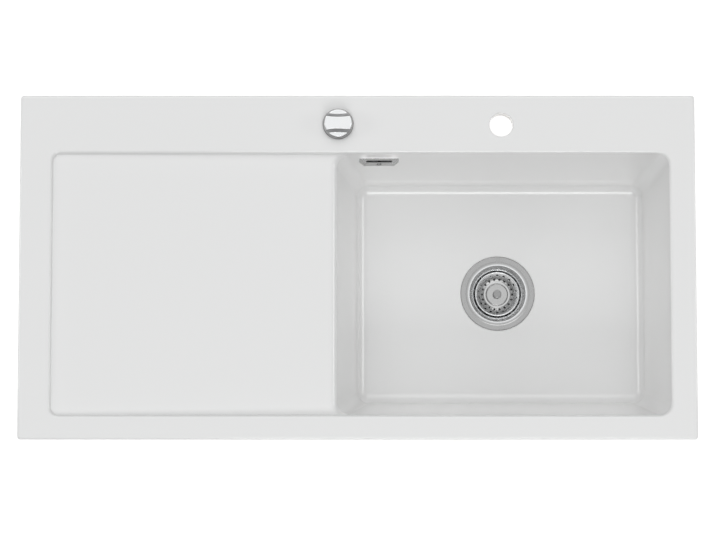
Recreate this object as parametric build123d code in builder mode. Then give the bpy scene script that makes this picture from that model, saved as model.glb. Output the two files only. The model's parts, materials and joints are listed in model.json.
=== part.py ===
from build123d import *
from math import atan2, cos, hypot, pi, radians, sin, sqrt, tan
import os

os.makedirs("parts", exist_ok=True)

# Inset kitchen sink of glazed ceramic with the drainboard on its left and the bowl on its right.
# X runs along the sink towards the bowl, Y towards the tap ledge, Z up. The origin is the centre
# of the outline, on the worktop that the rim rests on. All lengths are in millimetres.

# ---- Sink body ------------------------------------------------------------------------------
SINK_LENGTH = 1000.0
SINK_WIDTH = 510.0
SINK_CORNER = 5.0          # corner radius of the outline
RIM_HEIGHT = 10.0          # rim top above the worktop
RIM_ROUND = 4.0            # rounding of the outer top edge
SEAT_WIDTH = 17.0          # breadth of the underside that rests on the worktop
UNDER_DEPTH = 14.0         # how far the ledge reaches into the worktop's cut-out
UNDER_CORNER = 20.0
RIM_LEFT = 47.5            # border widths round the tray and the bowl
RIM_RIGHT = 38.5
RIM_FRONT = 35.5
LEDGE_WIDTH = 86.0
BOWL_LENGTH = 495.5
BOWL_DEPTH = 200.0         # rim top down to the floor
LEAN_LEFT = 36.0           # how far each wall leans inwards over the bowl's depth
LEAN_RIGHT = 22.0
LEAN_BACK = 29.0
LEAN_FRONT = 27.0
WALL = 12.0
FLOOR_THICKNESS = 12.0
BOWL_CORNER = 18.5
FLOOR_ROUND = 18.0
LIP_ROUND = 4.5            # rounding of the inner edge of the rim
TRAY_SHALLOW = 6.5         # tray depth at its left end and at the bowl
TRAY_DEEP = 10.0
TRAY_ROUND = 2.5
TRAY_CORNER = 12.0
TRAY_LIP = 10.0            # rounding where the tray drops into the bowl
FALL_RADIUS = 135.0        # the floor falls towards the waste inside this radius
FLOOR_FALL = 2.5
CUT_OVER = 30.0            # cutting forms stand this far above the rim
OVERRUN = 1.0              # cutting forms run past other faces by this much

# ---- Holes in the ledge ---------------------------------------------------------------------
TAP_FROM_RIGHT = 287.2     # hole centres from the sink's right or the bowl's left, and its back
TAP_FROM_BACK = 44.3
TAP_HOLE_RADIUS = 17.5
CONTROL_FROM_BOWL = 5.1
CONTROL_FROM_BACK = 43.4
CONTROL_HOLE_RADIUS = 17.5
HOLE_CHAMFER = 0.8

# ---- Waste set ------------------------------------------------------------------------------
WASTE_OFF_MIDDLE_X = 3.25  # waste hole beside the bowl's middle
WASTE_OFF_MIDDLE_Y = 1.25
RECESS_DEPTH = 1.6         # seat that the flange lies in
RECESS_GAP = 1.0
PAD_DEPTH = 3.0            # thickening of the floor's underside round the waste hole
PAD_RADIUS = 72.0
FLANGE_RADIUS = 57.0
RIDGE_RADIUS = 49.5
RIDGE_DROP = 1.1
CUP_RADIUS = 42.5
CUP_SEAT_RADIUS = 35.5
CUP_SHOULDER_DEPTH = 12.0
CUP_DEPTH = 44.0
CUP_ROUND = 4.0
CUP_SHEET = 1.2
CUP_HOLES = 6
CUP_HOLE_RADIUS = 4.0
CUP_HOLE_CIRCLE = 13.5
HOLE_CLEARANCE = 1.8       # cup in the ceramic hole
UPPER_SEAL = 1.0
LOWER_SEAL = 2.5
SEAL_BREADTH = 11.0

BODY_RADIUS = 44.0         # inside of the plastic waste body
BODY_WALL = 3.0
BODY_FLANGE_THICKNESS = 4.0
BODY_DEPTH = 67.0
BODY_CONE = 15.0
OUTLET_RADIUS = 23.9       # 1 1/2 inch pipe thread
OUTLET_LENGTH = 30.0
OUTLET_COLLAR = 4.0        # collar below the waste body that holds the outlet tail's head
TAIL_HEAD = 1.0            # how far that head stands out past the pipe thread
HUB_RADIUS = 9.0
HUB_LENGTH = 16.0
HUB_GAP = 0.9
SPOKE_WIDTH = 3.0
SPOKE_HEIGHT = 10.0
SPOKES = 3

SCREW_RADIUS = 5.0         # hollow M10 clamping screw
SCREW_HEAD_RADIUS = 8.0
SCREW_HEAD_HEIGHT = 3.0
SCREW_HEAD_EDGE = 1.0
SCREW_END_GAP = 2.0        # screw ends this far above the hub's lower face
ROD_RADIUS = 2.5
ROD_CLEARANCE = 0.3

# ---- Strainer basket ------------------------------------------------------------------------
BASKET_DROP = 10.0         # basket rim below the flange's top
BASKET_HEIGHT = 11.5
BASKET_SHEET = 0.8
BASKET_CLEARANCE = 1.2
BASKET_BEAD = 1.0
BASKET_FLOOR_RADIUS = 20.0
BASKET_DOME_RADIUS = 15.5
BASKET_DOME_RISE = 4.5
BASKET_DOME_FLARE = 2.0
BASKET_HOLES = 18
BASKET_HOLE_RADIUS = 1.8
OUTER_HOLE_CIRCLE = 29.0
INNER_HOLE_CIRCLE = 23.4
PLUG_RADIUS = 25.0
PLUG_THICKNESS = 1.5
PLUG_SEAL_INNER = 21.0
PLUG_SEAL_OUTER = 27.0
PLUG_SEAL_THICKNESS = 2.5
SEAT_GAP = 0.3             # resting gap between parts that move apart
STEM_RADIUS = 4.0
STEM_HUB_RADIUS = 11.0
STEM_CAVITY_RADIUS = 9.0
STEM_CAVITY_HEIGHT = 3.2
STEM_HUB_HEIGHT = 7.2
STEM_HUB_EDGE = 1.0
STEM_THREAD_RADIUS = 2.5
STEM_THREAD_LENGTH = 5.0
GRIP_RADIUS = 6.5
GRIP_HEIGHT = 9.0
GRIP_NECK_RADIUS = 4.6
GRIP_NECK_RISE = 2.7
GRIP_SHOULDER_RISE = 5.9
GRIP_ROUND = 1.5

# ---- Rocker that lifts the basket -----------------------------------------------------------
ROCKER_DROP = 56.0         # shaft axis below the top of the waste body
FINGER_LENGTH = 14.0
FINGER_RADIUS = 2.5
FINGER_ARM_RADIUS = 1.6
FINGER_HUB_RADIUS = 5.5
FINGER_HUB_WIDTH = 8.0
ROCKER_SWING = 36.0        # degrees from basket down to basket up
CRANK_LENGTH = 20.0
SHAFT_RADIUS = 3.0
SHAFT_CLEARANCE = 0.3
BOSS_RADIUS = 9.0
BOSS_REACH = 56.0          # from the waste axis
BOSS_START = 39.0
GLAND_RADIUS = 5.5
GLAND_DEPTH = 5.0
GLAND_NUT_RADIUS = 11.0
GLAND_NUT_LENGTH = 7.0
CRANK_GAP = 1.0
CRANK_THICKNESS = 4.0
CRANK_WIDTH = 10.4
CRANK_HUB_RADIUS = 6.0
CLIP_RADIUS = 5.0
CLIP_THICKNESS = 1.5
NIPPLE_RADIUS = 2.5
NIPPLE_CLEARANCE = 0.3
WIRE_OFFSET = 6.0          # wire line beyond the crank

# ---- Bowden cable ---------------------------------------------------------------------------
WIRE_RADIUS = 0.75
SHEATH_RADIUS = 2.5
SHEATH_BORE = 1.2
SOCKET_CLEARANCE = 0.1
CABLE_LAST_RUN = 42.0      # straight run into the adjuster
CABLE_SHARES = [           # of the way in X, Y and Z from the control to that last run
    (0.0, 0.0, 0.264),
    (0.013, 0.035, 0.504),
    (0.073, 0.146, 0.699),
    (0.221, 0.319, 0.851),
    (0.449, 0.542, 0.939),
    (0.718, 0.777, 0.983),
]
BEND_SHARE = 0.45          # of the shorter run beside a corner, taken up by its bend
BRACKET_REACH = 40.0       # end plate, from the waste axis towards the cable
BRACKET_THICKNESS = 4.0
BRACKET_MARGIN = 8.0
BRACKET_WEB = 49.0         # web of the bracket, from the waste axis
BRACKET_RIB = 8.0
ADJUSTER_RADIUS = 3.5
ADJUSTER_FRONT = 10.0
ADJUSTER_BACK = 12.0
COLLAR_RADIUS = 4.5
COLLAR_LENGTH = 10.0
SOCKET_DEPTH = 9.0
LOCK_NUT_RADIUS = 6.0
LOCK_NUT_LENGTH = 4.0

# ---- Overflow -------------------------------------------------------------------------------
OVERFLOW_FROM_BOWL = 66.0  # middle of the cover from the bowl's left
OVERFLOW_DROP = 41.0       # middle of the cover below the rim top
COVER_WIDTH = 59.0
COVER_HEIGHT = 21.0
COVER_REACH = 6.6
COVER_BEVEL = 7.0
COVER_SLOPE = 3.0
COVER_SHEET = 1.2
SLOT_WIDTH = 38.0
SLOT_HEIGHT = 2.6
DUCT_WIDTH = 46.0
DUCT_HEIGHT = 14.0
OVERFLOW_GASKET = 2.0
ELBOW_FLANGE = 4.0
ELBOW_DEPTH = 26.0
ELBOW_WALL = 2.5
SPIGOT_RADIUS = 10.0
SPIGOT_WALL = 2.0
SPIGOT_DROP = 36.0         # spigot's lower end below the middle of the cover
SPIGOT_OVERLAP = 18.0      # length of spigot inside the hose
SPIGOT_DISTANCE = 16.0     # spigot axis behind the wall's outer face
COVER_SCREW_RADIUS = 2.0
COVER_SCREW_HEAD = 3.6
COVER_SCREW_HEAD_HEIGHT = 1.4
COVER_SCREW_LENGTH = 34.0
SCREW_POST_RADIUS = 4.0
HOSE_RIB_RADIUS = 12.5
HOSE_VALLEY_RADIUS = 11.3
HOSE_CUFF_LENGTH = 25.0
HOSE_FIT = 0.2
HOSE_BEND = 80.0
HOSE_PITCH = 5.0
RIB_FLANK = 0.15           # shares of the pitch: each flank of a rib, and the valley
RIB_VALLEY = 0.25
INLET_DROP = 24.5          # inlet axis below the top of the waste body
INLET_REACH = 68.0
HOSE_NUT_WALL = 3.3
HOSE_NUT_LENGTH = 14.0
HOSE_NUT_NOTCHES = 12
HOSE_NUT_NOTCH_RADIUS = 1.2

# ---- Control --------------------------------------------------------------------------------
KNOB_RADIUS = 20.2
KNOB_HEIGHT = 13.0
KNOB_TURN = 90.0           # degrees
KNOB_EDGE = 0.6
KNOB_CAVITY_RADIUS = 16.0
KNOB_CAVITY_HEIGHT = 2.5
KNOB_HUB_RADIUS = 8.0
KNOB_SKIN = 2.8            # knob left above the spindle's end
BAR_HALF_WIDTH = 8.3       # half the grip bar's width at its waist
BAR_FLARE = 2.0            # how much wider each side is at the bar's ends
STEP_DEPTH = 4.8
STEP_WALL_ANGLE = 50.0     # degrees from upright
ESCUTCHEON_RADIUS = 22.8
ESCUTCHEON_BASE = 2.0
ESCUTCHEON_LIP = 2.5
ESCUTCHEON_EDGE = 1.0
KNOB_GAP = 0.7
CONTROL_WASHER = 1.0
SHANK_RADIUS = 16.3
SHANK_CLEARANCE = 0.4
SHANK_BOTTOM = -66.0
HOUSING_FLANGE_RADIUS = 19.5
HOUSING_FLANGE = 1.5
HOUSING_BORE = 9.0
HOUSING_SHOULDER = -8.0
RUNNING_CLEARANCE = 0.3
SPINDLE_RADIUS = 4.0
DRUM_RADIUS = 6.0
DRUM_BOTTOM = -41.0
THRUST_COLLAR = 3.0
PIN_RADIUS = 1.5
PIN_HEIGHT = -36.0
PIN_TIP = 10.5             # reach of the pin from the spindle's axis
GROOVE_RUN_OUT = 2.0
FOLLOWER_TOP = -30.0
FOLLOWER_BOTTOM = -63.0
FOLLOWER_FLOOR = 4.0
WIRE_HEAD_RADIUS = 2.0
WIRE_HEAD_HEIGHT = 2.5
WIRE_IN_SHEATH = 15.0      # wire end inside the sheath at the control
UNDER_WASHER = 1.5
UNDER_WASHER_RADIUS = 24.0
NUT_RADIUS = 23.0
NUT_LENGTH = 8.0
CAP_RADIUS = 14.0
CAP_THICKNESS = 6.0
NECK_RADIUS = 5.0
NECK_LENGTH = 16.0
GRUB_RADIUS = 1.2
GRUB_LENGTH = 9.0

# ---- Places worked out from the sizes above ---------------------------------------------------
bowl_right = SINK_LENGTH / 2 - RIM_RIGHT
bowl_left = bowl_right - BOWL_LENGTH
bowl_middle = (bowl_left + bowl_right) / 2
tray_left = -SINK_LENGTH / 2 + RIM_LEFT
opening_front = -SINK_WIDTH / 2 + RIM_FRONT
opening_back = SINK_WIDTH / 2 - LEDGE_WIDTH
tap_x = SINK_LENGTH / 2 - TAP_FROM_RIGHT
tap_y = SINK_WIDTH / 2 - TAP_FROM_BACK
control_x = bowl_left + CONTROL_FROM_BOWL
control_y = SINK_WIDTH / 2 - CONTROL_FROM_BACK
waste_x = bowl_middle + WASTE_OFF_MIDDLE_X
waste_y = (opening_front + opening_back) / 2 + WASTE_OFF_MIDDLE_Y
overflow_x = bowl_left + OVERFLOW_FROM_BOWL
floor_z = RIM_HEIGHT - BOWL_DEPTH
cut_top = RIM_HEIGHT + CUT_OVER
tray_slope = (TRAY_DEEP - TRAY_SHALLOW) / (bowl_left - tray_left)

waste_seat_z = floor_z - FLOOR_FALL - RECESS_DEPTH
waste_under_z = floor_z - FLOOR_THICKNESS - PAD_DEPTH
waste_hole_radius = CUP_RADIUS + CUP_SHEET + HOLE_CLEARANCE
flange_top = waste_seat_z + UPPER_SEAL + CUP_SHEET
cup_floor_z = flange_top - CUP_DEPTH
body_top = waste_under_z - LOWER_SEAL
hub_top = cup_floor_z - CUP_SHEET - HUB_GAP
outlet_top = body_top - BODY_DEPTH - BODY_CONE
outlet_bottom = outlet_top - OUTLET_LENGTH
collar_bottom = outlet_top - OUTLET_COLLAR

swing = radians(ROCKER_SWING / 2)
shaft_x = waste_x + FINGER_LENGTH
shaft_z = body_top - ROCKER_DROP
wire_travel = 2 * CRANK_LENGTH * tan(swing)
crank_y = waste_y + BOSS_REACH + GLAND_NUT_LENGTH + CRANK_GAP
wire_y = crank_y + CRANK_THICKNESS + WIRE_OFFSET
wire_z = shaft_z - CRANK_LENGTH
nipple_x = shaft_x + wire_travel / 2
bracket_x = waste_x - BRACKET_REACH
bracket_y = waste_y + BRACKET_WEB
collar_front_x = bracket_x - BRACKET_THICKNESS / 2 - ADJUSTER_BACK
collar_back_x = collar_front_x - COLLAR_LENGTH
sheath_end_x = collar_back_x + SOCKET_DEPTH

overflow_z = RIM_HEIGHT - OVERFLOW_DROP
back_slope = LEAN_BACK / BOWL_DEPTH
leaned_back_at_cover = back_slope * OVERFLOW_DROP
wall_normal = WALL / hypot(1, back_slope)
spigot_y = opening_back - leaned_back_at_cover + WALL + SPIGOT_DISTANCE
spigot_bottom = overflow_z - SPIGOT_DROP
hose_top = spigot_bottom + SPIGOT_OVERLAP
hose_bore = SPIGOT_RADIUS + HOSE_FIT
inlet_z = body_top - INLET_DROP

neck_bottom = SHANK_BOTTOM - CAP_THICKNESS - NECK_LENGTH
sheath_top = neck_bottom + SOCKET_DEPTH
washer_top = RIM_HEIGHT + CONTROL_WASHER
escutcheon_top = washer_top + ESCUTCHEON_BASE
flange_z = escutcheon_top + HOUSING_FLANGE
knob_bottom = flange_z + SEAT_GAP
knob_top = knob_bottom + KNOB_HEIGHT

waste_axis = Axis((waste_x, waste_y, 0), (0, 0, 1))
waste_section = Plane((waste_x, waste_y, 0), x_dir=(1, 0, 0), z_dir=(0, -1, 0))
control_axis = Axis((control_x, control_y, 0), (0, 0, 1))
control_section = Plane((control_x, control_y, 0), x_dir=(1, 0, 0), z_dir=(0, -1, 0))


# ---- Helpers --------------------------------------------------------------------------------
def finish(piece, name):
    """Label a finished piece and write its file."""
    piece.part.label = name
    export_step(piece.part, f"parts/{name}.step")


def leaned(lean, z):
    """How far a wall with this lean has come inwards at height z."""
    return lean * (RIM_HEIGHT - z) / BOWL_DEPTH


def tray_z(x):
    """Height of the tray's sloping floor."""
    return RIM_HEIGHT - TRAY_SHALLOW - tray_slope * (x - tray_left)


def side_view(top, bottom, grow):
    """Outline between the front and back walls, seen along the sink."""
    return [
        (opening_front - grow + leaned(LEAN_FRONT, top), top),
        (opening_back + grow - leaned(LEAN_BACK, top), top),
        (opening_back + grow - leaned(LEAN_BACK, bottom), bottom),
        (opening_front - grow + leaned(LEAN_FRONT, bottom), bottom),
    ]


def upright(edge):
    """True for the edges that run down a form's corners."""
    return abs(edge.tangent_at(0.5).Z) > 0.5


def bowl_form(top, bottom, grow, corner, rounding):
    """Solid with the bowl's leaning walls, each moved outwards by grow."""
    with BuildPart() as form:
        with BuildSketch(Plane.XZ):
            Polygon(
                (bowl_left - grow + leaned(LEAN_LEFT, top), top),
                (bowl_right + grow - leaned(LEAN_RIGHT, top), top),
                (bowl_right + grow - leaned(LEAN_RIGHT, bottom), bottom),
                (bowl_left - grow + leaned(LEAN_LEFT, bottom), bottom),
                align=None,
            )
        extrude(amount=SINK_WIDTH, both=True)
        with BuildSketch(Plane.YZ):
            Polygon(*side_view(top, bottom, grow), align=None)
        extrude(amount=SINK_LENGTH, both=True, mode=Mode.INTERSECT)
        fillet(form.edges().filter_by(upright), corner)
        fillet(form.faces().sort_by(Axis.Z)[0].edges(), rounding)
    return form.part


def sheet_outline(points, thickness):
    """Closed outline of bent sheet: the given line, and the same line moved to its left."""
    moved = []
    for i, (x, y) in enumerate(points):
        before = points[max(i - 1, 0)]
        after = points[min(i + 1, len(points) - 1)]
        turn_in = atan2(y - before[1], x - before[0]) if i else None
        turn_out = atan2(after[1] - y, after[0] - x) if i < len(points) - 1 else None
        turn_in = turn_out if turn_in is None else turn_in
        turn_out = turn_in if turn_out is None else turn_out
        middle = atan2(sin(turn_in) + sin(turn_out), cos(turn_in) + cos(turn_out))
        reach = thickness / cos(turn_in - middle)
        moved.append((x - reach * sin(middle), y + reach * cos(middle)))
    return list(points) + moved[::-1]


def turned(section, axis, points, name):
    """Turned piece from a closed outline of (radius, height) points."""
    with BuildPart() as piece:
        with BuildSketch(section):
            Polygon(*points, align=None)
        revolve(axis=axis)
    finish(piece, name)


def washer(section, axis, inner, outer, bottom, top, name):
    """Flat ring between two heights."""
    turned(section, axis, [(inner, bottom), (outer, bottom), (outer, top), (inner, top)], name)


def nut(plane, hole, corner_radius, length, name):
    """Hexagon nut that stands on the plane."""
    with BuildPart() as piece:
        with BuildSketch(plane):
            RegularPolygon(corner_radius, 6)
            Circle(hole, mode=Mode.SUBTRACT)
        extrude(amount=length)
    finish(piece, name)


# ---- Sink body ------------------------------------------------------------------------------
bowl_space = bowl_form(cut_top, floor_z, 0, BOWL_CORNER, FLOOR_ROUND)
bowl_shell = bowl_form(
    -UNDER_DEPTH / 2,
    floor_z - FLOOR_THICKNESS,
    WALL,
    BOWL_CORNER + WALL,
    FLOOR_ROUND + WALL,
)

# The tray shares the bowl's front and back walls and runs into the bowl at its right.
with BuildPart() as tray_space:
    with BuildSketch(Plane.XZ):
        Polygon(
            (tray_left + leaned(LEAN_LEFT, cut_top), cut_top),
            (bowl_middle, cut_top),
            (bowl_middle, tray_z(bowl_middle)),
            (tray_left + leaned(LEAN_LEFT, tray_z(tray_left)), tray_z(tray_left)),
            align=None,
        )
    extrude(amount=SINK_WIDTH, both=True)
    with BuildSketch(Plane.YZ):
        Polygon(*side_view(cut_top, -UNDER_DEPTH, 0), align=None)
    extrude(amount=SINK_LENGTH, both=True, mode=Mode.INTERSECT)
    fillet(tray_space.edges().filter_by(upright).group_by(Axis.X)[0], TRAY_CORNER)
    tray_floor = tray_space.faces().sort_by(Axis.Z)[0]
    fillet([e for e in tray_floor.edges() if e.center().X < bowl_middle - OVERRUN], TRAY_ROUND)

# A block level with the tray, with the bowl cut through it and that edge rounded, leaves the
# rounded lip between tray and bowl when it is taken from a plain block.
lip_left = bowl_left - 2 * TRAY_LIP
lip_bottom = -4 * TRAY_LIP
with BuildPart() as lip_block:
    with BuildSketch(Plane.XZ):
        Polygon(
            (lip_left - TRAY_LIP, tray_z(lip_left - TRAY_LIP)),
            (bowl_middle, tray_z(bowl_middle)),
            (bowl_middle, lip_bottom - TRAY_LIP),
            (lip_left - TRAY_LIP, lip_bottom - TRAY_LIP),
            align=None,
        )
    extrude(amount=SINK_WIDTH / 2, both=True)
    add(bowl_space, mode=Mode.SUBTRACT)
    lip_edges = [
        e
        for e in lip_block.faces().sort_by(Axis.Z)[-1].edges()
        if bowl_left - OVERRUN < e.center().X < bowl_middle - OVERRUN
        and abs(e.center().Y) < SINK_WIDTH / 2 - OVERRUN
    ]
    fillet(lip_edges, TRAY_LIP)

with BuildPart() as lip_space:
    lip_right = bowl_middle - TRAY_LIP
    with BuildSketch(Plane.XZ):
        Polygon(
            (lip_left, tray_z(lip_left) + OVERRUN),
            (lip_right, tray_z(lip_right) + OVERRUN),
            (lip_right, lip_bottom),
            (lip_left, lip_bottom),
            align=None,
        )
    extrude(amount=SINK_WIDTH, both=True)
    with BuildSketch(Plane.YZ):
        Polygon(*side_view(cut_top, lip_bottom - TRAY_LIP, 0), align=None)
    extrude(amount=SINK_LENGTH, both=True, mode=Mode.INTERSECT)
    add(lip_block.part, mode=Mode.SUBTRACT)

# The floor falls to the waste along a smooth curve, level at both of its ends.
with BuildPart() as floor_dish:
    with BuildSketch(waste_section):
        with BuildLine():
            fall_start = (FALL_RADIUS, floor_z)
            fall_end = (FLANGE_RADIUS + RECESS_GAP, floor_z - FLOOR_FALL)
            fall_half = (FALL_RADIUS - FLANGE_RADIUS) / 2
            Bezier(
                fall_start,
                (fall_start[0] - fall_half, fall_start[1]),
                (fall_end[0] + fall_half, fall_end[1]),
                fall_end,
            )
            Polyline(
                fall_end,
                (fall_end[0], waste_seat_z),
                (0, waste_seat_z),
                (0, floor_z + OVERRUN),
                (FALL_RADIUS, floor_z + OVERRUN),
                fall_start,
            )
        make_face()
    revolve(axis=waste_axis)

duct_plane = Plane(
    origin=(overflow_x, opening_back - leaned_back_at_cover, overflow_z),
    x_dir=(1, 0, 0),
    z_dir=(0, -1, back_slope),
)

with BuildPart() as sink_body:
    with BuildSketch(Plane.XY):
        RectangleRounded(SINK_LENGTH, SINK_WIDTH, SINK_CORNER)
    extrude(amount=RIM_HEIGHT)
    fillet(sink_body.faces().sort_by(Axis.Z)[-1].edges(), RIM_ROUND)
    with BuildSketch(Plane.XY):
        RectangleRounded(SINK_LENGTH - 2 * SEAT_WIDTH, SINK_WIDTH - 2 * SEAT_WIDTH, UNDER_CORNER)
    extrude(amount=-UNDER_DEPTH)
    add(bowl_shell)
    with BuildSketch(Plane.XY.offset(waste_under_z)):
        with Locations((waste_x, waste_y)):
            Circle(PAD_RADIUS)
    extrude(amount=PAD_DEPTH + OVERRUN)
    add(bowl_space, mode=Mode.SUBTRACT)
    add(tray_space.part, mode=Mode.SUBTRACT)
    add(lip_space.part, mode=Mode.SUBTRACT)
    rim_faces = [f for f in sink_body.faces() if abs(f.center().Z - RIM_HEIGHT) < 1e-6]
    fillet(rim_faces[0].inner_wires()[0].edges(), LIP_ROUND)
    add(floor_dish.part, mode=Mode.SUBTRACT)
    with BuildSketch(Plane.XY.offset(waste_under_z - OVERRUN)):
        with Locations((waste_x, waste_y)):
            Circle(waste_hole_radius)
    extrude(amount=BOWL_DEPTH / 2, mode=Mode.SUBTRACT)
    with BuildSketch(Plane.XY.offset(RIM_HEIGHT)):
        with Locations((tap_x, tap_y)):
            Circle(TAP_HOLE_RADIUS)
        with Locations((control_x, control_y)):
            Circle(CONTROL_HOLE_RADIUS)
    extrude(amount=-RIM_HEIGHT - UNDER_DEPTH, mode=Mode.SUBTRACT)
    rim_top = [f for f in sink_body.faces() if abs(f.center().Z - RIM_HEIGHT) < 1e-6][0]
    hole_edges = [e for e in rim_top.edges() if e.is_closed]
    chamfer(hole_edges, HOLE_CHAMFER)
    with BuildSketch(duct_plane):
        RectangleRounded(DUCT_WIDTH, DUCT_HEIGHT, DUCT_HEIGHT / 4)
    extrude(amount=-2 * WALL, mode=Mode.SUBTRACT)
finish(sink_body, "sink_body")


# ---- Strainer cup and seals -------------------------------------------------------------------
washer(
    waste_section,
    waste_axis,
    RIDGE_RADIUS + UPPER_SEAL,
    FLANGE_RADIUS - UPPER_SEAL,
    waste_seat_z,
    waste_seat_z + UPPER_SEAL,
    "waste_upper_seal",
)
washer(
    waste_section,
    waste_axis,
    waste_hole_radius,
    waste_hole_radius + SEAL_BREADTH,
    body_top,
    waste_under_z,
    "waste_lower_seal",
)

cup_line = [
    (FLANGE_RADIUS, flange_top),
    (RIDGE_RADIUS, flange_top),
    (RIDGE_RADIUS - RIDGE_DROP, flange_top - RIDGE_DROP / 4),
    (CUP_RADIUS + RIDGE_DROP, flange_top - RIDGE_DROP / 2),
    (CUP_RADIUS, flange_top - 2 * RIDGE_DROP),
    (CUP_SEAT_RADIUS, flange_top - CUP_SHOULDER_DEPTH),
    (CUP_SEAT_RADIUS, cup_floor_z + CUP_ROUND),
    (CUP_SEAT_RADIUS - CUP_ROUND, cup_floor_z),
    (SCREW_RADIUS + ROD_CLEARANCE, cup_floor_z),
]
with BuildPart() as strainer_cup:
    with BuildSketch(waste_section):
        Polygon(*sheet_outline(cup_line, CUP_SHEET), align=None)
    revolve(axis=waste_axis)
    with BuildSketch(Plane.XY.offset(cup_floor_z)):
        with Locations((waste_x, waste_y)):
            with PolarLocations(CUP_HOLE_CIRCLE, CUP_HOLES):
                Circle(CUP_HOLE_RADIUS)
    extrude(amount=CUP_SHEET * 2, both=True, mode=Mode.SUBTRACT)
    flange_rim = strainer_cup.edges().group_by(Axis.Z)[-1].sort_by(SortBy.LENGTH)[-1]
    fillet(flange_rim, CUP_SHEET / 2)
finish(strainer_cup, "strainer_cup")

# ---- Waste body -------------------------------------------------------------------------------
hub_bottom = hub_top - HUB_LENGTH
to_elbow = Vector(overflow_x - waste_x, spigot_y - waste_y, 0).normalized()
inlet_plane = Plane((waste_x, waste_y, inlet_z), x_dir=(0, 0, 1), z_dir=to_elbow)
shaft_plane = Plane((shaft_x, waste_y, shaft_z), x_dir=(1, 0, 0), z_dir=(0, 1, 0))
body_line = [
    (BODY_RADIUS, body_top),
    (BODY_RADIUS, body_top - BODY_DEPTH),
    (OUTLET_RADIUS + TAIL_HEAD, outlet_top),
    (OUTLET_RADIUS + TAIL_HEAD, collar_bottom),
]
with BuildPart() as waste_body:
    with BuildSketch(waste_section):
        Polygon(*sheet_outline(body_line, BODY_WALL), align=None)
    revolve(axis=waste_axis)
    with BuildSketch(Plane.XY.offset(body_top)):
        with Locations((waste_x, waste_y)):
            Circle(waste_hole_radius + SEAL_BREADTH)
            Circle(BODY_RADIUS, mode=Mode.SUBTRACT)
    extrude(amount=-BODY_FLANGE_THICKNESS)
    # Overflow inlet, with the chamber kept open behind it
    with BuildSketch(inlet_plane.offset(BODY_RADIUS)):
        Circle(SPIGOT_RADIUS)
    extrude(amount=INLET_REACH - BODY_RADIUS)
    with BuildSketch(inlet_plane.offset(BODY_RADIUS / 2)):
        Circle(SPIGOT_RADIUS - SPIGOT_WALL)
    extrude(amount=INLET_REACH, mode=Mode.SUBTRACT)
    # Threaded hub for the clamping screw, on its spokes
    with BuildSketch(Plane.XY.offset(hub_bottom)):
        with Locations((waste_x, waste_y)):
            Circle(HUB_RADIUS)
    extrude(amount=HUB_LENGTH)
    with BuildSketch(Plane.XY.offset(hub_bottom)):
        with Locations((waste_x, waste_y)):
            with PolarLocations((BODY_RADIUS + BODY_WALL / 2) / 2, SPOKES, start_angle=-90):
                Rectangle(BODY_RADIUS + BODY_WALL / 2, SPOKE_WIDTH)
    extrude(amount=SPOKE_HEIGHT)
    with BuildSketch(Plane.XY.offset(hub_bottom)):
        with Locations((waste_x, waste_y)):
            Circle(SCREW_RADIUS)
    extrude(amount=HUB_LENGTH, mode=Mode.SUBTRACT)
    # Boss for the rocker's shaft, and the bracket that holds the cable
    with BuildSketch(shaft_plane.offset(BOSS_START)):
        Circle(BOSS_RADIUS)
    extrude(amount=BOSS_REACH - BOSS_START)
    with BuildSketch(Plane.XZ.offset(-bracket_y)):
        with Locations(((bracket_x + shaft_x) / 2, (wire_z - BRACKET_MARGIN + shaft_z) / 2)):
            Rectangle(shaft_x - bracket_x + BRACKET_THICKNESS, shaft_z - wire_z + BRACKET_MARGIN)
    extrude(amount=-BRACKET_THICKNESS)
    with BuildSketch(Plane.YZ.offset(bracket_x - BRACKET_THICKNESS / 2)):
        with Locations(((bracket_y + wire_y + BRACKET_MARGIN) / 2, wire_z)):
            Rectangle(wire_y + BRACKET_MARGIN - bracket_y, 2 * BRACKET_MARGIN)
    extrude(amount=BRACKET_THICKNESS)
    with BuildSketch(Plane.YZ.offset(bracket_x - BRACKET_THICKNESS / 2)):
        with Locations((wire_y, wire_z)):
            Circle(ADJUSTER_RADIUS + SOCKET_CLEARANCE)
    extrude(amount=BRACKET_THICKNESS, mode=Mode.SUBTRACT)
    rib_depth = BRACKET_WEB + BRACKET_THICKNESS - BODY_RADIUS - BODY_WALL / 2
    with BuildSketch(Plane.XY.offset(body_top - BODY_DEPTH)):
        with Locations((waste_x - BRACKET_RIB / 2, bracket_y + BRACKET_THICKNESS - rib_depth / 2)):
            Rectangle(BRACKET_RIB, rib_depth)
    extrude(amount=shaft_z - body_top + BODY_DEPTH)
    with BuildSketch(shaft_plane.offset(BODY_RADIUS / 2)):
        Circle(SHAFT_RADIUS + SHAFT_CLEARANCE)
    extrude(amount=BOSS_REACH, mode=Mode.SUBTRACT)
    with BuildSketch(shaft_plane.offset(BOSS_REACH)):
        Circle(GLAND_RADIUS)
    extrude(amount=-GLAND_DEPTH, mode=Mode.SUBTRACT)
finish(waste_body, "waste_body")

turned(
    waste_section,
    waste_axis,
    [
        (OUTLET_RADIUS - BODY_WALL, outlet_bottom),
        (OUTLET_RADIUS, outlet_bottom),
        (OUTLET_RADIUS, collar_bottom),
        (OUTLET_RADIUS + TAIL_HEAD, collar_bottom),
        (OUTLET_RADIUS + TAIL_HEAD, outlet_top),
        (OUTLET_RADIUS - BODY_WALL, outlet_top),
    ],
    "outlet_tail",
)

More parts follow.
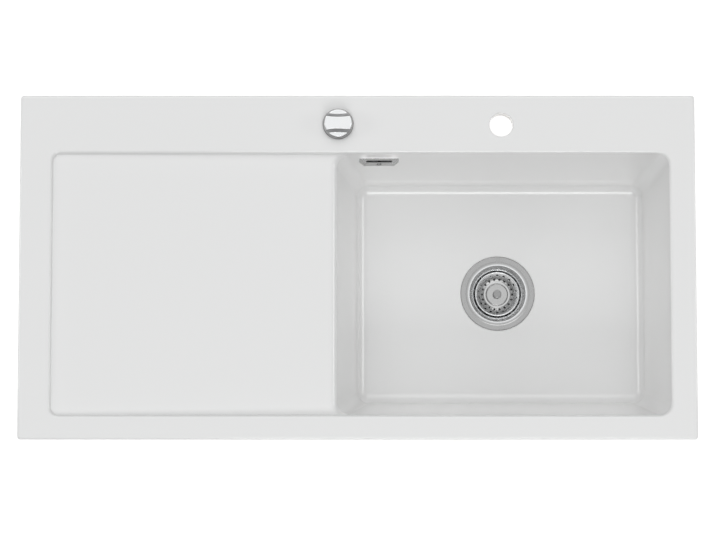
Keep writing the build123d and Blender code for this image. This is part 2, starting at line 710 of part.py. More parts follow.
with BuildPart() as gland_seal:
    with BuildSketch(shaft_plane.offset(BOSS_REACH - GLAND_DEPTH)):
        Circle(GLAND_RADIUS)
        Circle(SHAFT_RADIUS + SHAFT_CLEARANCE, mode=Mode.SUBTRACT)
    extrude(amount=GLAND_DEPTH)
finish(gland_seal, "gland_seal")
nut(
    shaft_plane.offset(BOSS_REACH),
    SHAFT_RADIUS + SHAFT_CLEARANCE,
    GLAND_NUT_RADIUS,
    GLAND_NUT_LENGTH,
    "gland_nut",
)

screw_head_top = cup_floor_z + SCREW_HEAD_HEIGHT
turned(
    waste_section,
    waste_axis,
    [
        (ROD_RADIUS + ROD_CLEARANCE, screw_head_top),
        (SCREW_HEAD_RADIUS - SCREW_HEAD_EDGE, screw_head_top),
        (SCREW_HEAD_RADIUS, screw_head_top - SCREW_HEAD_EDGE),
        (SCREW_HEAD_RADIUS, cup_floor_z),
        (SCREW_RADIUS, cup_floor_z),
        (SCREW_RADIUS, hub_bottom + SCREW_END_GAP),
        (ROD_RADIUS + ROD_CLEARANCE, hub_bottom + SCREW_END_GAP),
    ],
    "clamping_screw",
)

# ---- Strainer basket --------------------------------------------------------------------------
basket_radius = CUP_SEAT_RADIUS - BASKET_CLEARANCE
basket_rim_z = flange_top - BASKET_DROP
basket_floor_z = basket_rim_z - BASKET_HEIGHT
dome_z = basket_floor_z + BASKET_DOME_RISE
basket_line = [
    (basket_radius - BASKET_BEAD, basket_rim_z),
    (basket_radius - 2 * BASKET_BEAD, basket_rim_z),
    (BASKET_FLOOR_RADIUS, basket_floor_z),
    (BASKET_DOME_RADIUS + BASKET_DOME_FLARE, basket_floor_z),
    (BASKET_DOME_RADIUS, dome_z),
    (STEM_THREAD_RADIUS, dome_z),
]
with BuildPart() as strainer_basket:
    with BuildSketch(waste_section):
        Polygon(*sheet_outline(basket_line, BASKET_SHEET), align=None)
        with Locations((basket_radius - BASKET_BEAD, basket_rim_z - BASKET_SHEET / 2)):
            Circle(BASKET_BEAD)
    revolve(axis=waste_axis)
    for circle, turn in ((OUTER_HOLE_CIRCLE, 180 / BASKET_HOLES), (INNER_HOLE_CIRCLE, 0)):
        with BuildSketch(Plane.XY.offset(basket_floor_z)):
            with Locations((waste_x, waste_y)):
                with PolarLocations(circle, BASKET_HOLES, start_angle=turn):
                    Circle(BASKET_HOLE_RADIUS)
        extrude(amount=BASKET_HEIGHT, both=True, mode=Mode.SUBTRACT)
finish(strainer_basket, "strainer_basket")

plug_bottom = cup_floor_z + SEAT_GAP + PLUG_SEAL_THICKNESS
cavity_top = plug_bottom + STEM_CAVITY_HEIGHT
hub_cap_top = plug_bottom + STEM_HUB_HEIGHT
thread_top = dome_z + STEM_THREAD_LENGTH
turned(
    waste_section,
    waste_axis,
    [
        (0, cavity_top),
        (STEM_CAVITY_RADIUS, cavity_top),
        (STEM_CAVITY_RADIUS, plug_bottom),
        (PLUG_RADIUS, plug_bottom),
        (PLUG_RADIUS, plug_bottom + PLUG_THICKNESS),
        (STEM_HUB_RADIUS, plug_bottom + PLUG_THICKNESS),
        (STEM_HUB_RADIUS, hub_cap_top - STEM_HUB_EDGE),
        (STEM_HUB_RADIUS - STEM_HUB_EDGE, hub_cap_top),
        (STEM_RADIUS, hub_cap_top),
        (STEM_RADIUS, dome_z - BASKET_SHEET),
        (STEM_THREAD_RADIUS, dome_z - BASKET_SHEET),
        (STEM_THREAD_RADIUS, thread_top),
        (0, thread_top),
    ],
    "basket_stem",
)
washer(
    waste_section,
    waste_axis,
    PLUG_SEAL_INNER,
    PLUG_SEAL_OUTER,
    cup_floor_z + SEAT_GAP,
    plug_bottom,
    "basket_seal",
)

with BuildPart() as basket_grip:
    with BuildSketch(waste_section):
        Polygon(
            (STEM_THREAD_RADIUS, dome_z),
            (GRIP_RADIUS - GRIP_ROUND, dome_z),
            (GRIP_NECK_RADIUS, dome_z + GRIP_NECK_RISE),
            (GRIP_RADIUS, dome_z + GRIP_SHOULDER_RISE),
            (GRIP_RADIUS, dome_z + GRIP_HEIGHT),
            (0, dome_z + GRIP_HEIGHT),
            (0, thread_top),
            (STEM_THREAD_RADIUS, thread_top),
            align=None,
        )
    revolve(axis=waste_axis)
    fillet(basket_grip.edges().group_by(Axis.Z)[-1], GRIP_ROUND)
finish(basket_grip, "basket_grip")

# ---- Lift rod and rocker, with the basket down --------------------------------------------------
finger_tip_x = shaft_x - FINGER_LENGTH * cos(swing)
finger_tip = Vector(finger_tip_x, waste_y, shaft_z - FINGER_LENGTH * sin(swing))
rod_bottom = finger_tip.Z + FINGER_RADIUS + SEAT_GAP
rod_top = cavity_top - SEAT_GAP
with BuildPart() as lift_rod:
    with BuildSketch(Plane.XY.offset(rod_bottom)):
        with Locations((waste_x, waste_y)):
            Circle(ROD_RADIUS)
    extrude(amount=rod_top - rod_bottom)
    chamfer(lift_rod.edges().group_by(Axis.Z)[-1], ROD_RADIUS / 5)
finish(lift_rod, "lift_rod")

shaft_end_y = crank_y + CRANK_THICKNESS + CLIP_THICKNESS + CRANK_GAP
with BuildPart() as rocker_shaft:
    with BuildSketch(shaft_plane.offset(-FINGER_HUB_WIDTH / 2)):
        Circle(SHAFT_RADIUS)
    extrude(amount=shaft_end_y - waste_y + FINGER_HUB_WIDTH / 2)
finish(rocker_shaft, "rocker_shaft")

finger_plane = Plane(shaft_plane.origin, x_dir=finger_tip - shaft_plane.origin, z_dir=(0, 1, 0))
ball_start = FINGER_LENGTH - sqrt(FINGER_RADIUS**2 - FINGER_ARM_RADIUS**2)
with BuildPart() as rocker_finger:
    with BuildSketch(shaft_plane.offset(-FINGER_HUB_WIDTH / 2)):
        Circle(FINGER_HUB_RADIUS)
    extrude(amount=FINGER_HUB_WIDTH)
    with BuildSketch(finger_plane):
        with BuildLine():
            arm = Polyline(
                (FINGER_LENGTH + FINGER_RADIUS, 0),
                (0, 0),
                (0, FINGER_ARM_RADIUS),
                (ball_start, FINGER_ARM_RADIUS),
            )
            ThreePointArc(arm @ 1, (FINGER_LENGTH, FINGER_RADIUS), arm @ 0)
        make_face()
    revolve(axis=Axis(finger_plane.origin, finger_plane.x_dir))
    with BuildSketch(shaft_plane.offset(-FINGER_HUB_WIDTH / 2)):
        Circle(SHAFT_RADIUS)
    extrude(amount=FINGER_HUB_WIDTH, mode=Mode.SUBTRACT)
finish(rocker_finger, "rocker_finger")

crank_plane = Plane((shaft_x, crank_y, shaft_z), x_dir=(sin(swing), 0, -cos(swing)), z_dir=(0, 1, 0))
slot_run = CRANK_LENGTH / cos(swing) - CRANK_LENGTH
crank_end = CRANK_LENGTH + slot_run + CRANK_WIDTH / 2
with BuildPart() as rocker_crank:
    with BuildSketch(crank_plane):
        Circle(CRANK_HUB_RADIUS)
        with Locations((crank_end / 2, 0)):
            Rectangle(crank_end, CRANK_WIDTH)
        with Locations((CRANK_LENGTH + slot_run / 2, 0)):
            SlotCenterToCenter(
                slot_run + 2 * NIPPLE_CLEARANCE,
                2 * (NIPPLE_RADIUS + NIPPLE_CLEARANCE),
                mode=Mode.SUBTRACT,
            )
        Circle(SHAFT_RADIUS, mode=Mode.SUBTRACT)
    extrude(amount=CRANK_THICKNESS)
    crank_tip = crank_plane.from_local_coords((crank_end, 0))
    crank_corners = rocker_crank.edges().filter_by(Axis.Y).sort_by_distance(crank_tip)
    fillet(crank_corners[:2], CRANK_WIDTH / 4)
finish(rocker_crank, "rocker_crank")

with BuildPart() as crank_clip:
    with BuildSketch(shaft_plane.offset(crank_y + CRANK_THICKNESS - waste_y)):
        Circle(CLIP_RADIUS)
        Circle(SHAFT_RADIUS, mode=Mode.SUBTRACT)
    extrude(amount=CLIP_THICKNESS)
finish(crank_clip, "crank_clip")

# ---- Cable end at the waste ---------------------------------------------------------------------
wire_plane = Plane((bracket_x, wire_y, wire_z), x_dir=(0, 1, 0), z_dir=(1, 0, 0))
with BuildPart() as cable_nipple:
    with BuildSketch(Plane.XZ.offset(-(wire_y + NIPPLE_RADIUS))):
        with Locations((nipple_x, wire_z)):
            Circle(NIPPLE_RADIUS)
    extrude(amount=wire_y + NIPPLE_RADIUS - crank_y + CRANK_GAP / 2)
    with BuildSketch(Plane.YZ.offset(nipple_x)):
        with Locations((wire_y, wire_z)):
            Circle(WIRE_RADIUS)
    extrude(amount=2 * NIPPLE_RADIUS, both=True, mode=Mode.SUBTRACT)
finish(cable_nipple, "cable_nipple")

wire_end_x = sheath_end_x - WIRE_HEAD_HEIGHT
with BuildPart() as lower_wire:
    with BuildSketch(wire_plane.offset(wire_end_x - bracket_x)):
        Circle(WIRE_RADIUS)
    extrude(amount=nipple_x + NIPPLE_RADIUS - wire_end_x)
finish(lower_wire, "lower_wire")

with BuildPart() as cable_adjuster:
    with BuildSketch(wire_plane.offset(collar_front_x - bracket_x)):
        Circle(ADJUSTER_RADIUS)
    extrude(amount=ADJUSTER_BACK + BRACKET_THICKNESS + ADJUSTER_FRONT)
    with BuildSketch(wire_plane.offset(collar_back_x - bracket_x)):
        Circle(COLLAR_RADIUS)
    extrude(amount=COLLAR_LENGTH)
    with BuildSketch(wire_plane.offset(collar_back_x - bracket_x)):
        Circle(SHEATH_RADIUS + SOCKET_CLEARANCE)
    extrude(amount=SOCKET_DEPTH, mode=Mode.SUBTRACT)
    with BuildSketch(wire_plane.offset(collar_back_x - bracket_x)):
        Circle(SHEATH_BORE)
    extrude(amount=BOWL_DEPTH, mode=Mode.SUBTRACT)
finish(cable_adjuster, "cable_adjuster")
half_plate = BRACKET_THICKNESS / 2
nut(wire_plane.offset(half_plate), ADJUSTER_RADIUS, LOCK_NUT_RADIUS, LOCK_NUT_LENGTH, "front_lock_nut")
nut(
    wire_plane.offset(-half_plate - LOCK_NUT_LENGTH),
    ADJUSTER_RADIUS,
    LOCK_NUT_RADIUS,
    LOCK_NUT_LENGTH,
    "back_lock_nut",
)

# ---- Overflow -----------------------------------------------------------------------------------
def cover_block(shrink, top):
    """Bevelled block of the cover, smaller by shrink on every side."""
    with BuildPart() as block:
        with BuildSketch(duct_plane):
            Rectangle(COVER_WIDTH - 2 * shrink, COVER_HEIGHT - 2 * shrink)
        with BuildSketch(duct_plane.offset(top)):
            Rectangle(
                COVER_WIDTH - 2 * COVER_BEVEL - shrink,
                COVER_HEIGHT - 2 * COVER_SLOPE - 2 * shrink,
            )
        loft(ruled=True)
    return block.part


with BuildPart() as overflow_cover:
    add(cover_block(0, COVER_REACH))
    add(cover_block(COVER_SHEET, COVER_REACH - COVER_SHEET), mode=Mode.SUBTRACT)
    with BuildSketch(duct_plane.offset(COVER_REACH - COVER_SHEET)):
        Rectangle(SLOT_WIDTH, COVER_HEIGHT + COVER_SLOPE)
    extrude(amount=-SLOT_HEIGHT, mode=Mode.SUBTRACT)
    with BuildSketch(duct_plane):
        Circle(COVER_SCREW_RADIUS)
    extrude(amount=COVER_REACH, mode=Mode.SUBTRACT)
finish(overflow_cover, "overflow_cover")

with BuildPart() as cover_screw:
    with BuildSketch(duct_plane.offset(COVER_REACH)):
        Circle(COVER_SCREW_HEAD)
    extrude(amount=COVER_SCREW_HEAD_HEIGHT)
    fillet(cover_screw.edges().sort_by(Axis.Y)[0], COVER_SCREW_HEAD_HEIGHT / 2)
    with BuildSketch(duct_plane.offset(COVER_REACH)):
        Circle(COVER_SCREW_RADIUS)
    extrude(amount=-COVER_SCREW_LENGTH)
    with BuildSketch(duct_plane.offset(COVER_REACH + COVER_SCREW_HEAD_HEIGHT)):
        Rectangle(COVER_SCREW_HEAD, COVER_SCREW_HEAD_HEIGHT / 2)
    extrude(amount=-COVER_SCREW_HEAD_HEIGHT / 2, mode=Mode.SUBTRACT)
finish(cover_screw, "cover_screw")

gasket_plane = duct_plane.offset(-wall_normal)
with BuildPart() as overflow_gasket:
    with BuildSketch(gasket_plane):
        Rectangle(COVER_WIDTH, COVER_HEIGHT + ELBOW_FLANGE)
        Rectangle(DUCT_WIDTH, DUCT_HEIGHT, mode=Mode.SUBTRACT)
    extrude(amount=-OVERFLOW_GASKET)
finish(overflow_gasket, "overflow_gasket")

elbow_plane = gasket_plane.offset(-OVERFLOW_GASKET)
spigot_plane = Plane((overflow_x, spigot_y, overflow_z), x_dir=(1, 0, 0), z_dir=(0, 0, -1))
with BuildPart() as overflow_elbow:
    with BuildSketch(elbow_plane):
        Rectangle(COVER_WIDTH, COVER_HEIGHT + ELBOW_FLANGE)
    extrude(amount=-ELBOW_FLANGE)
    with BuildSketch(elbow_plane):
        RectangleRounded(DUCT_WIDTH + 2 * ELBOW_WALL, DUCT_HEIGHT + 2 * ELBOW_WALL, ELBOW_WALL * 2)
    extrude(amount=-ELBOW_DEPTH)
    with BuildSketch(spigot_plane):
        Circle(SPIGOT_RADIUS)
    extrude(amount=SPIGOT_DROP)
    with BuildSketch(elbow_plane):
        RectangleRounded(DUCT_WIDTH, DUCT_HEIGHT, ELBOW_WALL)
    extrude(amount=ELBOW_WALL - ELBOW_DEPTH, mode=Mode.SUBTRACT)
    with BuildSketch(spigot_plane):
        Circle(SPIGOT_RADIUS - SPIGOT_WALL)
    extrude(amount=SPIGOT_DROP, mode=Mode.SUBTRACT)
    with BuildSketch(elbow_plane):
        Circle(SCREW_POST_RADIUS)
    extrude(amount=ELBOW_WALL / 2 - ELBOW_DEPTH)
    with BuildSketch(elbow_plane):
        Circle(COVER_SCREW_RADIUS)
    screw_in_elbow = COVER_SCREW_LENGTH - COVER_REACH - wall_normal - OVERFLOW_GASKET
    extrude(amount=-screw_in_elbow, mode=Mode.SUBTRACT)
finish(overflow_elbow, "overflow_elbow")

# The hose drops behind the bowl and turns once towards the waste, all in one upright plane.
hose_end = Vector(waste_x, waste_y, inlet_z) + to_elbow * (INLET_REACH - SPIGOT_OVERLAP)
steady = to_elbow.cross(Vector(0, 0, 1))
with BuildPart() as overflow_hose:
    with BuildLine() as hose_line:
        FilletPolyline(
            (overflow_x, spigot_y, hose_top),
            (overflow_x, spigot_y, inlet_z),
            hose_end,
            radius=HOSE_BEND,
        )
    hose_path = hose_line.wire()
    ribbed = hose_path.length - 2 * HOSE_CUFF_LENGTH
    rib_count = round(ribbed / HOSE_PITCH)
    pitch = ribbed / rib_count
    stations = [(0, HOSE_RIB_RADIUS), (HOSE_CUFF_LENGTH, HOSE_RIB_RADIUS)]
    for i in range(rib_count):
        start = HOSE_CUFF_LENGTH + i * pitch
        stations.append((start + RIB_FLANK * pitch, HOSE_VALLEY_RADIUS))
        stations.append((start + (RIB_FLANK + RIB_VALLEY) * pitch, HOSE_VALLEY_RADIUS))
        stations.append((start + (2 * RIB_FLANK + RIB_VALLEY) * pitch, HOSE_RIB_RADIUS))
        stations.append((start + pitch, HOSE_RIB_RADIUS))
    stations.append((hose_path.length, HOSE_RIB_RADIUS))
    for along, radius in stations:
        share = along / hose_path.length
        with BuildSketch(Plane(hose_path @ share, x_dir=steady, z_dir=hose_path % share)):
            Circle(radius)
    loft(ruled=True)
    with BuildSketch(Plane(hose_path @ 0, x_dir=steady, z_dir=hose_path % 0)):
        Circle(hose_bore)
    sweep(path=hose_path, mode=Mode.SUBTRACT)
finish(overflow_hose, "overflow_hose")


def hose_nut(plane, name):
    """Clamping ring round the hose, with grip notches."""
    with BuildPart() as piece:
        with BuildSketch(plane):
            Circle(HOSE_RIB_RADIUS + HOSE_FIT + HOSE_NUT_WALL)
            Circle(HOSE_RIB_RADIUS + HOSE_FIT, mode=Mode.SUBTRACT)
            with PolarLocations(HOSE_RIB_RADIUS + HOSE_FIT + HOSE_NUT_WALL, HOSE_NUT_NOTCHES):
                Circle(HOSE_NUT_NOTCH_RADIUS, mode=Mode.SUBTRACT)
        extrude(amount=HOSE_NUT_LENGTH)
    finish(piece, name)


nut_start = SPIGOT_OVERLAP - HOSE_NUT_LENGTH
hose_nut(Plane((overflow_x, spigot_y, spigot_bottom + nut_start / 2)), "upper_hose_nut")
hose_nut(inlet_plane.offset(INLET_REACH - SPIGOT_OVERLAP + nut_start / 2), "lower_hose_nut")

# ---- Control on the ledge -----------------------------------------------------------------------
shank_hole = SHANK_RADIUS + SHANK_CLEARANCE
washer(
    control_section,
    control_axis,
    shank_hole,
    ESCUTCHEON_RADIUS - CONTROL_WASHER,
    RIM_HEIGHT,
    washer_top,
    "control_washer",
)
turned(
    control_section,
    control_axis,
    [
        (shank_hole, washer_top),
        (ESCUTCHEON_RADIUS, washer_top),
        (ESCUTCHEON_RADIUS, escutcheon_top + ESCUTCHEON_LIP - ESCUTCHEON_EDGE),
        (ESCUTCHEON_RADIUS - ESCUTCHEON_EDGE, escutcheon_top + ESCUTCHEON_LIP),
        (KNOB_RADIUS + KNOB_GAP, escutcheon_top + ESCUTCHEON_LIP),
        (KNOB_RADIUS + KNOB_GAP, escutcheon_top),
        (shank_hole, escutcheon_top),
    ],
    "control_escutcheon",
)

pin_turn = -GROOVE_RUN_OUT * KNOB_TURN / wire_travel
pin_plane = Plane(
    (control_x, control_y, PIN_HEIGHT),
    x_dir=(0, 0, 1),
    z_dir=(cos(radians(pin_turn)), sin(radians(pin_turn)), 0),
)
with BuildPart() as control_housing:
    with BuildSketch(control_section):
        Polygon(
            (SPINDLE_RADIUS + RUNNING_CLEARANCE, flange_z),
            (HOUSING_FLANGE_RADIUS, flange_z),
            (HOUSING_FLANGE_RADIUS, escutcheon_top),
            (SHANK_RADIUS, escutcheon_top),
            (SHANK_RADIUS, SHANK_BOTTOM),
            (HOUSING_BORE, SHANK_BOTTOM),
            (HOUSING_BORE, HOUSING_SHOULDER),
            (SPINDLE_RADIUS + RUNNING_CLEARANCE, HOUSING_SHOULDER),
            align=None,
        )
    revolve(axis=control_axis)
    # Slot that keeps the follower's pin from turning
    with BuildSketch(pin_plane.offset(HOUSING_BORE / 2)):
        with Locations((wire_travel / 2, 0)):
            SlotCenterToCenter(wire_travel + RUNNING_CLEARANCE, 2 * (PIN_RADIUS + RUNNING_CLEARANCE))
    extrude(amount=PIN_TIP + RUNNING_CLEARANCE - HOUSING_BORE / 2, mode=Mode.SUBTRACT)
finish(control_housing, "control_housing")

with BuildPart() as control_spindle:
    with BuildSketch(control_section):
        Polygon(
            (0, knob_top - KNOB_SKIN),
            (SPINDLE_RADIUS, knob_top - KNOB_SKIN),
            (SPINDLE_RADIUS, HOUSING_SHOULDER - RUNNING_CLEARANCE),
            (HOUSING_BORE - RUNNING_CLEARANCE, HOUSING_SHOULDER - RUNNING_CLEARANCE),
            (HOUSING_BORE - RUNNING_CLEARANCE, HOUSING_SHOULDER - RUNNING_CLEARANCE - THRUST_COLLAR),
            (DRUM_RADIUS, HOUSING_SHOULDER - RUNNING_CLEARANCE - THRUST_COLLAR),
            (DRUM_RADIUS, DRUM_BOTTOM),
            (0, DRUM_BOTTOM),
            align=None,
        )
    revolve(axis=control_axis)
    # Steep left-hand groove: a quarter turn draws the follower up by the wire's travel
    with BuildLine() as groove_line:
        Helix(
            pitch=wire_travel * 360 / KNOB_TURN,
            height=wire_travel + 2 * GROOVE_RUN_OUT,
            radius=DRUM_RADIUS,
            center=(control_x, control_y, PIN_HEIGHT - GROOVE_RUN_OUT),
            lefthand=True,
        )
    groove_path = groove_line.wire()
    with BuildSketch(Plane(groove_path @ 0, z_dir=groove_path % 0)):
        Circle(PIN_RADIUS + RUNNING_CLEARANCE)
    sweep(path=groove_path, is_frenet=True, mode=Mode.SUBTRACT)
finish(control_spindle, "control_spindle")

with BuildPart() as cam_follower:
    with BuildSketch(control_section):
        Polygon(
            (WIRE_RADIUS, FOLLOWER_BOTTOM),
            (HOUSING_BORE - RUNNING_CLEARANCE, FOLLOWER_BOTTOM),
            (HOUSING_BORE - RUNNING_CLEARANCE, FOLLOWER_TOP),
            (DRUM_RADIUS + RUNNING_CLEARANCE, FOLLOWER_TOP),
            (DRUM_RADIUS + RUNNING_CLEARANCE, FOLLOWER_BOTTOM + FOLLOWER_FLOOR),
            (WIRE_RADIUS, FOLLOWER_BOTTOM + FOLLOWER_FLOOR),
            align=None,
        )
    revolve(axis=control_axis)
    with BuildSketch(pin_plane):
        Circle(PIN_RADIUS)
    extrude(amount=PIN_TIP, mode=Mode.SUBTRACT)
finish(cam_follower, "cam_follower")

with BuildPart() as follower_pin:
    with BuildSketch(Plane(pin_plane.origin, x_dir=pin_plane.z_dir, z_dir=(0, 0, 1))):
        with BuildLine():
            side = Polyline(
                (DRUM_RADIUS, PIN_RADIUS),
                (PIN_TIP, PIN_RADIUS),
                (PIN_TIP, 0),
                (DRUM_RADIUS - PIN_RADIUS, 0),
            )
            RadiusArc(side @ 0, side @ 1, -PIN_RADIUS)
        make_face()
    revolve(axis=Axis(pin_plane.origin, pin_plane.z_dir))
finish(follower_pin, "follower_pin")

wire_head_z = FOLLOWER_BOTTOM + FOLLOWER_FLOOR
turned(
    control_section,
    control_axis,
    [
        (0, wire_head_z + WIRE_HEAD_HEIGHT),
        (WIRE_HEAD_RADIUS, wire_head_z + WIRE_HEAD_HEIGHT),
        (WIRE_HEAD_RADIUS, wire_head_z),
        (WIRE_RADIUS, wire_head_z),
        (WIRE_RADIUS, sheath_top - WIRE_IN_SHEATH),
        (0, sheath_top - WIRE_IN_SHEATH),
    ],
    "upper_wire",
)

cap_bottom = SHANK_BOTTOM - CAP_THICKNESS
turned(
    control_section,
    control_axis,
    [
        (SHEATH_BORE, SHANK_BOTTOM),
        (CAP_RADIUS, SHANK_BOTTOM),
        (CAP_RADIUS, cap_bottom),
        (NECK_RADIUS, cap_bottom),
        (NECK_RADIUS, neck_bottom),
        (SHEATH_RADIUS + SOCKET_CLEARANCE, neck_bottom),
        (SHEATH_RADIUS + SOCKET_CLEARANCE, sheath_top),
        (SHEATH_BORE, sheath_top),
    ],
    "control_cap",
)

ledge_bottom = -UNDER_DEPTH
washer(
    control_section,
    control_axis,
    shank_hole,
    UNDER_WASHER_RADIUS,
    ledge_bottom - UNDER_WASHER,
    ledge_bottom,
    "control_under_washer",
)
nut(
    Plane((control_x, control_y, ledge_bottom - UNDER_WASHER - NUT_LENGTH)),
    SHANK_RADIUS,
    NUT_RADIUS,
    NUT_LENGTH,
    "control_nut",
)

# Round knob, stepped down on two sides so that a waisted bar is left to grip
flare_radius = (KNOB_RADIUS**2 + BAR_FLARE**2) / (2 * BAR_FLARE)
step_z = knob_top - STEP_DEPTH
with BuildPart() as control_knob:
    with BuildSketch(Plane.XY.offset(knob_bottom)):
        with Locations((control_x, control_y)):
            Circle(KNOB_RADIUS)
    extrude(amount=KNOB_HEIGHT)
    for side in (-1, 1):
        with BuildSketch(Plane((control_x, control_y, knob_top))):
            Circle(KNOB_RADIUS + 2 * STEP_DEPTH)
            with Locations((0, side * (BAR_HALF_WIDTH + flare_radius))):
                Circle(flare_radius, mode=Mode.INTERSECT)
        extrude(amount=-STEP_DEPTH, taper=STEP_WALL_ANGLE, mode=Mode.SUBTRACT)
    fillet(control_knob.faces().sort_by(Axis.Z)[-1].edges(), KNOB_EDGE)
    arcs = control_knob.edges().filter_by(GeomType.CIRCLE).filter_by(lambda arc: arc.radius < flare_radius)
    fillet(arcs.filter_by_position(Axis.Z, step_z - KNOB_EDGE / 2, step_z + KNOB_EDGE / 2), KNOB_EDGE)
    with BuildSketch(Plane.XY.offset(knob_bottom)):
        with Locations((control_x, control_y)):
            Circle(KNOB_CAVITY_RADIUS)
            Circle(KNOB_HUB_RADIUS, mode=Mode.SUBTRACT)
    extrude(amount=KNOB_CAVITY_HEIGHT, mode=Mode.SUBTRACT)
    with BuildSketch(Plane.XY.offset(knob_bottom)):
        with Locations((control_x, control_y)):
            Circle(SPINDLE_RADIUS)
    extrude(amount=KNOB_HEIGHT - KNOB_SKIN, mode=Mode.SUBTRACT)
    grub_z = knob_bottom + (KNOB_CAVITY_HEIGHT + KNOB_HEIGHT - STEP_DEPTH) / 2
    grub_plane = Plane((control_x, control_y, grub_z), x_dir=(1, 0, 0), z_dir=(0, -1, 0))
    with BuildSketch(grub_plane):
        Circle(GRUB_RADIUS)
    extrude(amount=KNOB_RADIUS, mode=Mode.SUBTRACT)
finish(control_knob, "control_knob")

with BuildPart() as knob_grub_screw:
    with BuildSketch(grub_plane.offset(SPINDLE_RADIUS)):
        Circle(GRUB_RADIUS)
    extrude(amount=GRUB_LENGTH)
finish(knob_grub_screw, "knob_grub_screw")

# ---- Bowden cable from the control to the waste --------------------------------------------------
last_run_x = sheath_end_x - CABLE_LAST_RUN
cable_way = [
    (
        control_x + (last_run_x - control_x) * share_x,
        control_y + (wire_y - control_y) * share_y,
        sheath_top + (wire_z - sheath_top) * share_z,
    )
    for share_x, share_y, share_z in CABLE_SHARES
]
cable_route = [
    (control_x, control_y, sheath_top),
    *cable_way,
    (last_run_x, wire_y, wire_z),
    (sheath_end_x, wire_y, wire_z),
]


def bend_radii(route):
    """A bend for each corner of the route, as wide as the shorter run beside it allows."""
    points = [Vector(*p) for p in route]
    radii = []
    for before, here, after in zip(points, points[1:], points[2:]):
        run = min((here - before).length, (after - here).length)
        turn = radians((here - before).get_angle(after - here))
        radii.append(BEND_SHARE * run / tan(turn / 2))
    return radii


cable_radii = bend_radii(cable_route)
print("cable bend radii", [round(r) for r in cable_radii])
with BuildPart() as cable_sheath:
    with BuildLine() as cable_line:
        FilletPolyline(*cable_route, radius=cable_radii)
    cable_path = cable_line.wire()
    with BuildSketch(Plane(cable_path @ 0, x_dir=(1, 0, 0), z_dir=cable_path % 0)):
        Circle(SHEATH_RADIUS)
        Circle(SHEATH_BORE, mode=Mode.SUBTRACT)
    sweep(path=cable_path)
finish(cable_sheath, "cable_sheath")
sheath_section = pi * (SHEATH_RADIUS**2 - SHEATH_BORE**2)
sheath_volume = sheath_section * cable_path.length
print("cable volume against section times length", cable_sheath.part.volume / sheath_volume)
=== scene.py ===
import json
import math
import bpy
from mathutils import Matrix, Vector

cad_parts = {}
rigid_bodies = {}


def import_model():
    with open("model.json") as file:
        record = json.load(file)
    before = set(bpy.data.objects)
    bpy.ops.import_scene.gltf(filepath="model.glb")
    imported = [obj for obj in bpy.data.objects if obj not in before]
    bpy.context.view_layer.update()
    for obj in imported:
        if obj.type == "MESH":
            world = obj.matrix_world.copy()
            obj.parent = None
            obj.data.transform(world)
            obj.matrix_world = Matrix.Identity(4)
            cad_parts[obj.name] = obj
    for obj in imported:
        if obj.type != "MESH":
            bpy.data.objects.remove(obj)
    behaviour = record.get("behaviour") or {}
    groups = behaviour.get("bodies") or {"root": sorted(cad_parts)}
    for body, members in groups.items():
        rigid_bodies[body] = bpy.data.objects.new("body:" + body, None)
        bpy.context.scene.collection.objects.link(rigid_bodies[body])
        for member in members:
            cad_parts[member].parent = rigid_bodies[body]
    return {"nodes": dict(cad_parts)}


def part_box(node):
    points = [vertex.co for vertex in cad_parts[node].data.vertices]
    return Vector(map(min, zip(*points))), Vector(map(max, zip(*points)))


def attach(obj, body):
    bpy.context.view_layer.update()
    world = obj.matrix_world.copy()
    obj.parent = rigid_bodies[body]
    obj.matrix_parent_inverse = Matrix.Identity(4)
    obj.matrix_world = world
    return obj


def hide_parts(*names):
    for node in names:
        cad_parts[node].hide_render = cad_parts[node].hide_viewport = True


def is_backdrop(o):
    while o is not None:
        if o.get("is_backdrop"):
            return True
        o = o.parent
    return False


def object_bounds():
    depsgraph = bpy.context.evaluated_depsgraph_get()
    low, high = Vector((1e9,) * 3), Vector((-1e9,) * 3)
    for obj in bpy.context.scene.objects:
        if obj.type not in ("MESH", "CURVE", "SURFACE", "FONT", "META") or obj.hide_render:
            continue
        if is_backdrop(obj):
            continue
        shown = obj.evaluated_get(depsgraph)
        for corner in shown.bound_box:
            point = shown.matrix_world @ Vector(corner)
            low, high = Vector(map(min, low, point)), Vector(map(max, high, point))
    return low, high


bl_info = {
    "name": "Kitchen sink with drainboard",
    "version": (1, 0, 0),
    "blender": (4, 5, 0),
    "location": "3D View > Sidebar > Sink",
    "description": "Finishes an inset ceramic sink, its strainer waste, overflow and control",
    "category": "Object",
}

import bmesh
import bpy
from mathutils import Vector

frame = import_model()
NODES = frame["nodes"]


def middle(node):
    """Middle of a frame node's box."""
    low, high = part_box(node)
    return (low + high) / 2


# Places and heights read from the frame
WASTE_MIDDLE = middle("strainer_cup")
CONTROL_MIDDLE = middle("control_escutcheon")
ADJUSTER_MIDDLE = middle("cable_adjuster")
ADJUSTER_LOW, ADJUSTER_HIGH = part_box("cable_adjuster")
TAIL_LOW, TAIL_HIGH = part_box("outlet_tail")
SHANK_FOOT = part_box("control_housing")[0].z
SHANK_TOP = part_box("control_nut")[1].z
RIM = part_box("sink_body")[1].z

# Sizes of the parts that carry a thread, in metres
OUTLET_WALL = 0.003
OUTLET_CHAMFER = OUTLET_WALL / 6
TAIL_HEAD = 0.001
COLLAR_HEIGHT = 0.004
SHANK_RADIUS = 0.0163
ADJUSTER_RADIUS = 0.0035
ADJUSTER_COLLAR = 0.010

# Section of a thread's ridge, in shares of its pitch, and how deep it sits in the core, in shares
# of its depth
RIDGE_FOOT = 0.44
RIDGE_TIP = 0.08
RIDGE_SUNK = 0.15

# Edges sharper than this stay sharp, in degrees
SHARP_EDGE = 35.0

